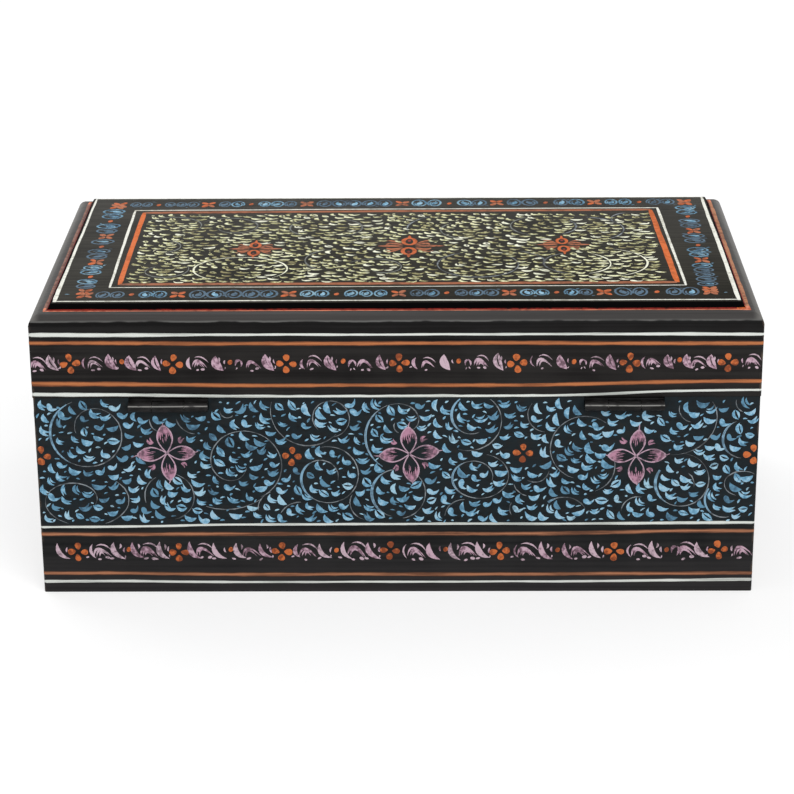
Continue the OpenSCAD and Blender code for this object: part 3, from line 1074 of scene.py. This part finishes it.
def border_run(order, level, upright, rng, layers, rise=0.0):
    """One side of the panel's border; upright says that it runs away from the painter."""
    phase = any_phase(rng)

    def lay(at, off=0.0):
        off += level + rise * (at - order[0][0]) / (order[-1][0] - order[0][0])
        return (off, at) if upright else (at, off)

    for (first, between), (second, _) in zip(order, order[1:]):
        pitch = (second - first - 2 * CROSS_ROOM) / len(between)
        for k, kind in enumerate(between):
            at = first + CROSS_ROOM + pitch * (k + 0.5)
            if kind == ".":
                layers["red_orange"] += [dab(lay(at, rng.uniform(-0.4, 0.4)), 1.3, 1.9, 1.4, 6)]
                continue
            bright = math.sin(phase + at / 7.5) + rng.uniform(-0.5, 0.5) > 0.25
            ring_paint = "border_blue" if bright else "dull_blue"
            flip = 1.0 if rng.random() < 0.7 else -1.0
            outline, comma = ring_motif(rng)
            turn = (math.pi / 2 if upright else 0.0) + rng.uniform(-0.08, 0.08)
            size = pitch / RING_PITCH
            layers[ring_paint] += set_down([outline], lay(at), turn, size, flip)
            bright_comma = "sky_blue" if rng.random() < 0.35 else "border_blue"
            comma_paint = bright_comma if bright or rng.random() < 0.4 else "dull_blue"
            layers[comma_paint] += set_down(comma, lay(at), turn, size, flip)
            if rng.random() < 0.6:
                side = rng.choice((-1, 1))
                layers[ring_paint] += small_dabs(lay(at + pitch / 2, side * 2.6), rng)
    for at, _ in order:
        cross_flower(lay(at), rng, layers)


# the thin petals at each side of a panel flower: how far each bows out, where its tip goes, its width
SHEAF = ((2.5, 1.0, 1.25), (-2.5, -1.0, 1.25), (0.3, 0.2, 1.4), (4.2, 3.4, 0.9), (-4.0, -2.9, 0.8))


def panel_flower(centre, size, rng, layers):
    """A large flower of the panel: round petals before and behind, and a sheaf of thin ones each side."""
    for away in (-1, 1):
        heart = (centre[0] + rng.uniform(-0.2, 0.2), centre[1] + away * 3.4 * size)
        ring = []
        for i in range(17):
            angle = 2 * math.pi * i / 16 + 0.3
            across = heart[0] + 1.3 * size * math.cos(angle)
            up = heart[1] + 2.3 * size * math.sin(angle)
            ring.append((across, up, 0.5 * size * rng.uniform(0.88, 1.1)))
        rim = heart[1] + away * 2.4 * size
        tip = (heart[0], rim + away * 2.4)
        point = sweep((heart[0], rim), (heart[0] + 0.1, rim + away), tip, 0.9 * size, 0.2, 5)
        layers["red_orange"] += [ring, point]
        speck = dab((heart[0], heart[1] + away * 0.6), 1.57, 1.5 * size, 0.8 * size, 5)
        layers["crease_red"].append(speck)
    for side in (-1, 1):
        for lift, tip, width in SHEAF:
            reach = (7.4 if abs(tip) < 1 else 4.9) * size * rng.uniform(0.9, 1.08)
            start = (centre[0] + side * 1.3 * size, centre[1] + lift * 0.3 * size)
            bend = (centre[0] + side * 4.2 * size, centre[1] + lift * 1.25 * size)
            end = (centre[0] + side * reach, centre[1] + tip * size)
            layers["rust_flower"].append(sweep(start, bend, end, width * size, 0.5, 8))


PANEL_FLOWERS = ((-37.4, -1.6, 0.95), (3.0, 0.4, 1.22), (43.3, 1.2, 0.98))  # across, up, size
PANEL_FIELD = (-68.2, 68.2, -29.9, 29.9)

# the panel's framing lines: start, end, width at the start and at the end
PANEL_LINES = {
    "panel_white": (
        ((-84.3, -43.9), (-84.2, 44.5), 1.1, 0.6),
        ((84.5, -43.9), (84.0, 44.5), 1.1, 0.95),
        ((-84.7, -43.35), (84.8, -43.35), 0.68, 0.66),
        ((-84.2, 44.6), (84.3, 44.6), 0.4, 0.36),
        ((-71.8, -33.0), (-72.3, 33.2), 0.85, 0.75),
        ((72.5, -32.3), (71.0, 34.6), 0.75, 0.8),
        ((-71.9, -32.9), (72.7, -32.2), 0.46, 0.46),
        ((-72.4, 33.4), (71.2, 34.6), 0.75, 0.7),
    ),
    "panel_orange": (
        ((-69.6, -30.7), (-69.6, 31.4), 1.36, 1.45),
        ((70.5, -29.9), (68.9, 32.5), 1.6, 1.6),
    ),
    "panel_brown": (
        ((-69.6, -30.4), (70.4, -29.8), 2.0, 1.9),
        ((-69.6, 31.4), (68.9, 32.7), 2.0, 2.0),
    ),
}

# the stems of the panel's field: paint, then a scroll's values as in FIELD_STEMS
PANEL_STEMS = (
    ("pale_green", -40.0, -18.4, 12.0, 250, -45, None, None, None, 0.82),
    ("pale_green", 52.8, -13.6, 11.6, 74, -74),
    ("pale_green", 46.0, -14.2, 8.9, 62, -72),
    ("stem_grey", 46.5, -14.2, 8.8, 112, 250),
    ("stem_grey", 28.0, -13.4, 10.2, 68, -4),
    ("stem_grey", 20.8, -15.0, 10.4, 98, 400),
    ("panel_stem", -14.0, -11.0, 9.8, 112, 236),
    ("panel_stem", -5.5, -17.5, 8.0, 150, -120, -4.0, -17.0, 4.0),
    ("panel_stem", -62.4, 0.8, 5.4, 72, -75),
    ("panel_stem", -60.5, -19.0, 7.6, 30, -230, -59.5, -19.0, 3.6),
    ("stem_grey", 49.8, 15.2, 10.6, 84, -54),
    ("stem_grey", 63.4, 24.2, 5.8, 200, 96),
    ("panel_stem", 39.0, 18.0, 8.8, 118, 250),
    ("stem_grey", 39.4, 18.0, 8.4, 40, -60),
    ("panel_stem", 19.2, 14.6, 7.8, 128, 250),
    ("stem_grey", 14.8, 16.0, 12.4, 118, 196),
    ("panel_stem", -18.0, 17.0, 8.4, 75, -75),
    ("panel_stem", -21.6, 17.0, 7.4, 130, 240),
    ("panel_stem", -45.0, 18.0, 8.8, 150, -160, -44.0, 18.0, 4.4),
    ("panel_stem", -61.0, 19.0, 8.0, -40, 240),
)


def flattened(strokes, centre):
    """The strokes drawn out along the panel and thinned across it, as its leaves are."""
    laid = []
    for stroke in strokes:
        drawn_out = []
        for x, y, half in stroke:
            across = centre[0] + (x - centre[0]) * 1.16
            up = centre[1] + (y - centre[1]) * 0.84
            drawn_out.append((across, up, half * 0.88))
        laid.append(drawn_out)
    return laid


def paint_panel(rng, layers):
    """The panel's framing lines, its border, and leaves round three large flowers."""
    for paint, lines in PANEL_LINES.items():
        for start, end, width, end_width in lines:
            layers[paint].append(long_stroke(start, end, width, rng, 0.1, end_width))
    border_run(NEAR_ORDER, -38.7, False, rng, layers, 1.4)
    border_run(FAR_ORDER, 38.6, False, rng, layers, 1.4)
    border_run(LEFT_ORDER, -77.7, True, rng, layers)
    border_run(RIGHT_ORDER, 78.2, True, rng, layers, 0.8)
    for side in (-1, 1):
        layers["border_blue"] += small_dabs((side * 81.8, -38.0), rng)
    round_flowers = [(x, y, 6.4 * size) for x, y, size in PANEL_FLOWERS]
    kept = []
    for paint, *course in PANEL_STEMS:
        stem = scroll(*course)
        for _, clear in clear_runs(stem, PANEL_FIELD, round_flowers):
            if len(clear) > 4:
                kept.append({"points": clear, "hub": stem["hub"]})
                layers[paint].append(stem_stroke(clear, rng, 0.3, 0.62))
    keep_off = []
    for x, y, size in PANEL_FLOWERS:
        panel_flower((x, y), size, rng, layers)
        for off in (-6.4, -3.6, 0.0, 3.6, 6.4):
            keep_off.append((x + off * size, y, (3.3 if abs(off) < 6 else 1.9) * size))
        for off in (-6.4, -3.6, 3.6, 6.4):
            keep_off.append((x, y + off * size, 2.5 * size))
    spots = fill_with_leaves((-67.3, 67.3, -29.0, 29.0), kept, keep_off, rng, 2.85, 1.82, 0.75)
    for place, facing in spots:
        paint = "leaf_green" if rng.random() < 0.85 else "pale_green"
        flip = 1.0 if rng.random() < 0.8 else -1.0
        leaf = set_down(leaf_strokes(rng), place, facing - math.pi / 2, rng.uniform(0.8, 1.06), flip)
        layers[paint] += flattened(leaf, place)
    for spot in sprinkle((-67.6, 67.6, -29.4, 29.4), 900, spots, kept, 0.6, keep_off, 1.6, rng):
        layers["leaf_green"] += small_dabs(spot, rng)


# ---------------------------------------------------------------- strokes into meshes


def alone(piece):
    """Makes the piece the only one selected, so that an operator acts on nothing else."""
    bpy.ops.object.select_all(action="DESELECT")
    piece.select_set(True)
    bpy.context.view_layer.objects.active = piece


def brush_mark(name, points):
    """The cross-section that the brush leaves, as a closed flat curve to run along each stroke."""
    curve = bpy.data.curves.new(name, "CURVE")
    curve.dimensions = "2D"
    spline = curve.splines.new("POLY")
    spline.points.add(len(points) - 1)
    for knot, (x, y) in zip(spline.points, points):
        knot.co = (x, y, 0, 1)
    spline.use_cyclic_u = True
    mark = bpy.data.objects.new(name, curve)
    bpy.context.scene.collection.objects.link(mark)
    return mark


def run_brush(name, strokes, mark, paint, closed=False):
    """Runs the brush's mark along every stroke and keeps the result as one mesh of closed strokes."""
    line = bpy.data.curves.new(name, "CURVE")
    line.dimensions = "3D"
    line.twist_mode = "Z_UP"
    line.bevel_mode = "OBJECT"
    line.bevel_object = mark
    line.use_fill_caps = not closed
    line.materials.append(paint)
    for stroke in strokes:
        spline = line.splines.new("POLY")
        spline.points.add(len(stroke) - 1)
        places = []
        for station in stroke:
            height = station[3] if len(station) > 3 else 0.0
            places += (station[0], station[1], height, 1.0)
        spline.points.foreach_set("co", places)
        spline.points.foreach_set("radius", [station[2] for station in stroke])
        spline.use_cyclic_u = closed
    drawn = bpy.data.objects.new(name, line)
    bpy.context.scene.collection.objects.link(drawn)
    alone(drawn)
    bpy.ops.object.convert(target="MESH")
    bpy.ops.object.mode_set(mode="EDIT")
    bpy.ops.mesh.select_all(action="SELECT")
    bpy.ops.mesh.remove_doubles(threshold=0.0005)
    bpy.ops.mesh.normals_make_consistent(inside=False)
    bpy.ops.object.mode_set(mode="OBJECT")
    bpy.ops.object.shade_smooth_by_angle(angle=math.radians(40))
    return bpy.context.object


def lay_flat_map(drawn, sheet, shift):
    """Uses the drawing itself as its map, so that every stroke has its own place on the sheet."""
    mesh = drawn.data
    while mesh.uv_layers:
        mesh.uv_layers.remove(mesh.uv_layers[0])
    layer = mesh.uv_layers.new(name="OFBake")
    corners = np.empty(len(mesh.loops), dtype=np.int32)
    mesh.loops.foreach_get("vertex_index", corners)
    places = np.empty(len(mesh.vertices) * 3)
    mesh.vertices.foreach_get("co", places)
    flat = places.reshape(-1, 3)[corners][:, :2]
    on_sheet = (flat + np.array(shift)) / sheet
    layer.data.foreach_set("uv", on_sheet.ravel())


FACES = {  # how a flat drawing is held against each face: across, up, out
    "back": ((-1, 0, 0), (0, 0, 1), (0, 1, 0)),
    "front": ((1, 0, 0), (0, 0, 1), (0, -1, 0)),
    "right": ((0, 1, 0), (0, 0, 1), (1, 0, 0)),
    "left": ((0, -1, 0), (0, 0, 1), (-1, 0, 0)),
    "top": ((-1, 0, 0), (0, -1, 0), (0, 0, 1)),
}


def hold_against(face, distance):
    """The move from a flat drawing in millimetres to its face in the frame, in metres."""
    across, up, out = (Vector(way) for way in FACES[face])
    held = Matrix((across, up, out)).transposed().to_4x4()
    held.translation = out * distance
    return Matrix.Scale(MM, 4) @ held


DAB_MARK = brush_mark("dab_mark", ((-1, -0.006), (0, 0.05), (1, -0.006)))
STEM_MARK = brush_mark("stem_mark", ((-1, -0.02), (0, 0.14), (1, -0.02)))
ROUND_MARK = brush_mark("round_mark", ((-0.008, 1), (0.06, 0), (-0.008, -1)))
LEDGE_MARK = brush_mark("ledge_mark", ((-1, -0.04), (0, 0.2), (1, -0.04)))
CREASE_SHAPE = ((1.0, -0.03), (0.7, 0.12), (0.05, 0.28), (-0.45, 1.1), (-0.8, 1.0), (-0.8, -0.1))
CREASE_MARK = brush_mark("crease_mark", CREASE_SHAPE)
THIN_PAINTS = ("stem_grey", "panel_stem")


def keep_on_face(strokes, half_len, top):
    """The strokes, with whatever would run past the ends or the top of the face pulled back onto it."""
    kept = []
    for stroke in strokes:
        pulled = []
        for x, y, half in stroke:
            reach = half_len - half
            pulled.append((max(-reach, min(reach, x)), min(top - half, y), half))
        kept.append(pulled)
    return kept


def paint_face(name, layers, face, half_len, distance, sheet, shift, top=math.inf):
    """Turns the layers of a drawing into meshes held against a face, one for each paint."""
    drawn = []
    for paint, strokes in layers.items():
        if not strokes:
            continue
        strokes = keep_on_face(strokes, half_len, top)
        mark = STEM_MARK if paint in THIN_PAINTS else DAB_MARK
        part = run_brush(name + "_" + paint, strokes, mark, PAINTS[paint])
        lay_flat_map(part, sheet, shift)
        part.data.transform(hold_against(face, distance))
        drawn.append(part)
    return drawn


def join_pieces(name, parts, body):
    """Joins the parts into one piece that rides on the body."""
    alone(parts[0])
    for part in parts:
        part.select_set(True)
    bpy.ops.object.join()
    piece = bpy.context.object
    piece.name = name
    piece.data.name = name
    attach(piece, body)


# ---------------------------------------------------------------- painting the box

FULL_TURN = 6.28318


def straight(start, end, pitch, first):
    """Points about a pitch apart on the way from start to end, from the first one on, the end left out."""
    count = int(math.hypot(end[0] - start[0], end[1] - start[1]) / pitch)
    points = []
    for i in range(first, count):
        t = i / count
        points.append((start[0] + (end[0] - start[0]) * t, start[1] + (end[1] - start[1]) * t))
    return points


def ledge_path(rng, out, along_side, along_right, along_left):
    """A line round the panel's foot, that far out from it; along_ says half its width on each stretch.

    It thickens into a blot at the back left corner, where the brush was lifted.
    """
    half_len = PANEL_FOOT_LEN + out
    half_dep = PANEL_FOOT_DEP + out
    path = []
    corners = [(side * half_len, back * half_dep) for side, back in ((1, -1), (1, 1), (-1, 1), (-1, -1))]
    for k in range(4):
        path += straight(corners[k], corners[(k + 1) % 4], 2.2, 0)
    press = [(waves, any_phase(rng)) for waves in (9, 17, 31, 57, 91)]
    stroke = []
    for i, (x, y) in enumerate(path):
        t = FULL_TURN * i / len(path)
        swell = sum(math.sin(waves * t + phase) for waves, phase in press)
        near_end = max(0.0, abs(x) - half_len + 6) / 6
        along_end = along_right if x > 0 else along_left
        half = along_side + (along_end - along_side) * near_end**3
        half *= 1 + 0.8 * max(0.0, 1 - math.hypot(x + half_len, y - half_dep) / 3.2)
        stroke.append((x, y, half * (1 + 0.08 * swell), LEDGE_Z))
    return stroke


# round places that the painter leaves free for the hinges: across, up, radius
hinge_holes = []
for side in (-1, 1):
    for off in (-9.0, -6.0, -3.0, 0.0, 3.0, 6.0, 9.0):
        hinge_holes.append((side * HINGE_MIDDLE + off, 51.8, 3.6))

CORNER_MARGIN = 0.25  # from the painting of a face to the corner
SIDE_SHEET = 184.0  # millimetres that a side's map covers, each way
LID_SHEET = 200.0
END_MIDDLE = 3.2  # the ends repeat the long sides' drawing round this place

BOX_FACES = (
    ("back", BOX_HALF_LEN, BOX_HALF_DEP, 11),
    ("front", BOX_HALF_LEN, BOX_HALF_DEP, 23),
    ("right", BOX_HALF_DEP, BOX_HALF_LEN, 37),
    ("left", BOX_HALF_DEP, BOX_HALF_LEN, 41),
)
for face, half, distance, seed in BOX_FACES:
    rng = random.Random(seed)
    layers = fresh_layers()
    middle = END_MIDDLE if face in ("right", "left") else 0.0
    stems = []
    for course in FIELD_STEMS:
        stem = scroll(*course)
        points = [(x - middle, y) for x, y in stem["points"]]
        stems.append({"points": points, "hub": (stem["hub"][0] - middle, stem["hub"][1])})
    big = [(x - middle, y) for x, y in BIG_FLOWERS if abs(x - middle) < half - 8]
    small = [(x - middle, y) for x, y in SMALL_FLOWERS if abs(x - middle) < half - 6]
    small += [(side * (half - EDGE_FLOWER), EDGE_FLOWER_UP) for side in (-1, 1)]
    holes = hinge_holes if face == "back" else []
    blue_field(half, stems, big, small, holes, rng, layers)
    flowers = BACK_BASE_FLOWERS if face == "back" else plain_flowers(half, rng)
    flower_band(BASE_BAND, flowers, half, BASE_BAND_STYLE, rng, layers)
    painted_half = half - CORNER_MARGIN
    top = PARTING - 0.1
    parts = paint_face(face, layers, face, painted_half, distance, SIDE_SHEET, (92, 20), top)
    join_pieces("box_" + face + "_painting", parts, "box")

LID_FACES = (
    ("back", LID_HALF_LEN, LID_HALF_DEP, 53),
    ("front", LID_HALF_LEN, LID_HALF_DEP, 61),
    ("right", LID_HALF_DEP, LID_HALF_LEN, 71),
    ("left", LID_HALF_DEP, LID_HALF_LEN, 83),
)
lid_parts = []
for row, (face, half, distance, seed) in enumerate(LID_FACES):
    rng = random.Random(seed)
    layers = fresh_layers()
    flowers = BACK_LID_FLOWERS if face == "back" else plain_flowers(half, rng)
    flower_band(LID_BAND, flowers, half, LID_BAND_STYLE, rng, layers)
    shift = (100, 20 * row - 50)
    painted_half = half - CORNER_MARGIN
    lid_parts += paint_face("lid_" + face, layers, face, painted_half, distance, LID_SHEET, shift)
join_pieces("lid_side_painting", lid_parts, "lid")

PANEL_REACH = 84.9  # from the middle to the ends of the panel's flat top

layers = fresh_layers()
paint_panel(random.Random(97), layers)
panel_parts = paint_face("panel", layers, "top", PANEL_REACH, PANEL_Z, SIDE_SHEET, (92, 92))
join_pieces("lid_panel_painting", panel_parts, "lid")

rng = random.Random(101)
ledge_stroke = ledge_path(rng, 0.6, 0.3, 0.4, 0.54)
ledge_line = run_brush("lid_ledge_line", [ledge_stroke], LEDGE_MARK, PAINTS["ledge_orange"], True)
ledge_line.data.materials.append(PAINTS["ledge_brown"])
ledge_line.data.materials.append(PAINTS["ledge_rust"])
for face in ledge_line.data.polygons:
    if abs(face.center.x) > PANEL_FOOT_LEN and abs(face.center.y) < PANEL_FOOT_DEP - 1.5:
        face.material_index = 1 if face.center.x > 0 else 2
crease_stroke = ledge_path(rng, 0.0, 0.2, 0.14, 0.16)
crease_line = run_brush("lid_crease_line", [crease_stroke], CREASE_MARK, PAINTS["crease_red"], True)
crease_line.data.materials.append(PAINTS["red_orange"])
for face in crease_line.data.polygons:
    if face.center.x < -PANEL_FOOT_LEN + 2.2 and face.center.y > PANEL_FOOT_DEP - 2.2:
        face.material_index = 1
for part in (ledge_line, crease_line):
    part.data.transform(Matrix.Scale(MM, 4))
join_pieces("lid_ledge_line", [ledge_line, crease_line], "lid")


def line_round(half_len, half_dep, heights, half_widths, rng, lowest=0.0):
    """A line drawn right round the box, over its rounded corners, at a height that wanders a little.

    Lowest is the edge that it stays above.
    """
    path = []
    corners = (
        (half_len - ARRIS, -half_dep + ARRIS, -90),
        (half_len - ARRIS, half_dep - ARRIS, 0),
        (-half_len + ARRIS, half_dep - ARRIS, 90),
        (-half_len + ARRIS, -half_dep + ARRIS, 180),
    )
    for k, (x, y, angle) in enumerate(corners):
        for step in range(5):
            path.append(off_from((x, y), ARRIS, math.radians(angle + 22.5 * step)))
        next_x, next_y, next_angle = corners[(k + 1) % 4]
        end = off_from((next_x, next_y), ARRIS, math.radians(next_angle))
        path += straight(path[-1], end, 2.5, 1)
    hand = [(waves, any_phase(rng)) for waves in (7, 11, 19, 31)]
    breath = [(waves, any_phase(rng)) for waves in (13, 27, 52, 83)]
    stroke = []
    for i, (x, y) in enumerate(path):
        t = FULL_TURN * i / len(path)
        wander = sum(math.sin(waves * t + phase) * 0.5 / waves**0.6 for waves, phase in hand)
        swell = sum(math.sin(waves * t + phase) for waves, phase in breath)
        backward = 0.5 + 0.5 * math.sin(math.pi / 2 * max(-1.0, min(1.0, y / half_dep)))
        left = 0.5 + backward * 0.5 * math.tanh((x - 56) / 16)
        right = 0.5 + backward * 0.5 * math.tanh((-x - 58) / 16)
        height = blend_three(heights, left, right)
        half_width = blend_three(half_widths, left, right) * (1 + 0.05 * swell)
        stroke.append((x, y, half_width, max(height + 0.22 * wander, lowest + half_width)))
    return stroke


def blend_three(values, left, right):
    """The middle value, taken over by the left and the right one by their shares."""
    return values[1] + (values[0] - values[1]) * left + (values[2] - values[1]) * right


def paint_lines(name, lines, half_len, half_dep, body, seed, lowest=0.0):
    """The painted lines of one body; the crest attribute tells their paint where their middle is."""
    rng = random.Random(seed)
    parts = []
    for paint, heights, half_widths in lines:
        stroke = line_round(half_len, half_dep, heights, half_widths, rng, lowest)
        part = run_brush(name, [stroke], ROUND_MARK, PAINTS[paint], closed=True)
        crest = part.data.attributes.new("crest", "FLOAT", "POINT")
        crest.data.foreach_set("value", [0.0, 1.0, 0.0] * (len(part.data.vertices) // 3))
        part.data.transform(Matrix.Scale(MM, 4))
        parts.append(part)
    join_pieces(name, parts, body)


paint_lines("box_painted_lines", BOX_LINES, BOX_HALF_LEN, BOX_HALF_DEP, "box", 5)
paint_lines("lid_painted_lines", LID_LINES, LID_HALF_LEN, LID_HALF_DEP, "lid", 7, PARTING)

for mark in (DAB_MARK, STEM_MARK, ROUND_MARK, LEDGE_MARK, CREASE_MARK):
    bpy.data.objects.remove(mark)

# ---------------------------------------------------------------- boards and hinges

EDGE_ROUND = 0.22  # how much the coats of lacquer ease an edge
BODY_BOARDS = ("front_wall", "back_wall", "left_wall", "right_wall", "floor_board")
LID_RAILS = ("lid_front_rail", "lid_back_rail", "lid_left_rail", "lid_right_rail")


def lacquer_board(node, body, lacquer):
    """A copy of a board with its edges eased by the coats of lacquer, in place of the bare one."""
    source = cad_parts[node]
    board = source.copy()
    board.data = source.data.copy()
    for key in list(board.keys()):
        del board[key]
    board.parent = None
    board.matrix_world = Matrix.Identity(4)
    board.name = "lacquered_" + node
    bpy.context.scene.collection.objects.link(board)
    alone(board)
    bpy.ops.object.mode_set(mode="EDIT")
    bpy.ops.mesh.select_all(action="SELECT")
    bpy.ops.mesh.remove_doubles(threshold=0.002 * MM)
    bpy.ops.mesh.dissolve_limited(angle_limit=math.radians(0.5))
    bpy.ops.object.mode_set(mode="OBJECT")
    bevel = board.modifiers.new("eased_edges", "BEVEL")
    bevel.width = EDGE_ROUND * MM
    bevel.segments = 2
    bevel.limit_method = "ANGLE"
    bevel.angle_limit = math.radians(35)
    bpy.ops.object.modifier_apply(modifier="eased_edges")
    bpy.ops.object.shade_smooth_by_angle(angle=math.radians(30))
    board.data.materials.clear()
    board.data.materials.append(lacquer)
    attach(board, body)
    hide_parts(node)
    return board


for node in BODY_BOARDS:
    lacquer_board(node, "box", BODY_LACQUER)
for node in LID_RAILS:
    lacquer_board(node, "lid", LID_LACQUER)
lacquer_board("lid_top_board", "lid", SHOULDER_LACQUER)

panel = lacquer_board("lid_top_panel", "lid", PANEL_LACQUER)
panel.data.materials.append(EDGE_BLACK_AND_SHADE)
for face in panel.data.polygons:  # the sloping edge is a flat black, darkened as painted shade
    if LEDGE_Z < face.center.z / MM < PANEL_Z - 0.01:
        face.material_index = 1

for name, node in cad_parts.items():
    if "hinge" in name:
        node.data.materials.clear()
        node.data.materials.append(HINGE_PAINT if "leaf" in name else BARE_STEEL)

# ---------------------------------------------------------------- floor, light and camera

FLOOR_HALF = 3.0


def lay_floor():
    """A pale floor: it shows white to the camera and keeps a share of the box's shadow."""
    bpy.ops.object.select_all(action="DESELECT")
    bpy.ops.mesh.primitive_plane_add(size=2 * FLOOR_HALF, location=(0, 0, 0))
    floor = bpy.context.object
    floor.name = "floor"
    bpy.ops.object.transform_apply(location=True, rotation=True, scale=True)
    material = bpy.data.materials.new("pale_floor")
    material.use_nodes = True
    tree = material.node_tree
    tree.nodes.remove(tree.nodes["Principled BSDF"])
    lit = tree.nodes.new("ShaderNodeBsdfDiffuse")
    lit.inputs["Color"].default_value = (0.9, 0.9, 0.9, 1)
    glow = tree.nodes.new("ShaderNodeEmission")
    glow.inputs["Color"].default_value = (1, 1, 1, 1)
    glow.inputs["Strength"].default_value = 1.16
    share = tree.nodes.new("ShaderNodeMixShader")
    tree.links.new(multiply(tree, seen_directly(tree), 0.5), share.inputs["Fac"])
    tree.links.new(lit.outputs[0], share.inputs[1])
    tree.links.new(glow.outputs[0], share.inputs[2])
    tree.links.new(share.outputs[0], tree.nodes["Material Output"].inputs["Surface"])
    floor.data.materials.append(material)


def seen_directly(tree):
    """1 for the rays that show a background: from the camera, in a mirror or through glass."""
    path = tree.nodes.new("ShaderNodeLightPath")
    seen = calc(tree, "MAXIMUM", path.outputs["Is Camera Ray"], path.outputs["Is Glossy Ray"])
    return calc(tree, "MAXIMUM", seen, path.outputs["Is Transmission Ray"])


SKY_LIGHT = 0.62


def hang_sky():
    """White all round to the eye, and a weaker even light on the box."""
    world = bpy.data.worlds.new("studio")
    bpy.context.scene.world = world
    world.use_nodes = True
    tree = world.node_tree
    background = tree.nodes["Background"]
    background.inputs["Color"].default_value = (1, 1, 1, 1)
    strength = spread(tree, seen_directly(tree), 0.0, 1.0, SKY_LIGHT, 1.0)
    tree.links.new(strength, background.inputs["Strength"])


def hang_lamp(name, place, size, power):
    """A square soft lamp that looks at the middle of the box."""
    light = bpy.data.lights.new(name, "AREA")
    light.shape = "SQUARE"
    light.size = size
    light.energy = power
    lamp = bpy.data.objects.new(name, light)
    lamp.location = place
    aim = Vector((0, 0, 0.04)) - Vector(place)
    lamp.rotation_mode = "QUATERNION"
    lamp.rotation_quaternion = aim.to_track_quat("-Z", "Y")
    bpy.context.scene.collection.objects.link(lamp)


def stand_camera():
    """The photograph's camera: behind the box, a little above, turned a hair to one side."""
    tilt = math.radians(21.06)
    turn = math.radians(-0.718)
    roll = math.radians(-0.405)
    level = math.cos(tilt)
    forward = Vector((-math.sin(turn) * level, -math.cos(turn) * level, -math.sin(tilt)))
    right = Vector((-math.cos(turn), math.sin(turn), 0))
    up = right.cross(forward)
    rolled_right = math.cos(roll) * right + math.sin(roll) * up
    rolled_up = math.cos(roll) * up - math.sin(roll) * right
    camera = bpy.data.cameras.new("camera")
    camera.sensor_width = 36.0
    camera.lens = 115.96
    camera.clip_start = 0.01
    stand = bpy.data.objects.new("camera", camera)
    pose = Matrix((rolled_right, rolled_up, -forward)).transposed().to_4x4()
    pose.translation = (-0.00761, 0.6399, 0.2802)
    stand.matrix_world = pose
    bpy.context.scene.collection.objects.link(stand)
    bpy.context.scene.camera = stand


lay_floor()
hang_sky()
hang_lamp("key_lamp", (-0.35, 0.9, 0.9), 0.9, 9.0)
hang_lamp("far_lamp", (0.5, -0.7, 0.9), 0.9, 5.0)
stand_camera()
bpy.context.scene.view_settings.view_transform = "Standard"
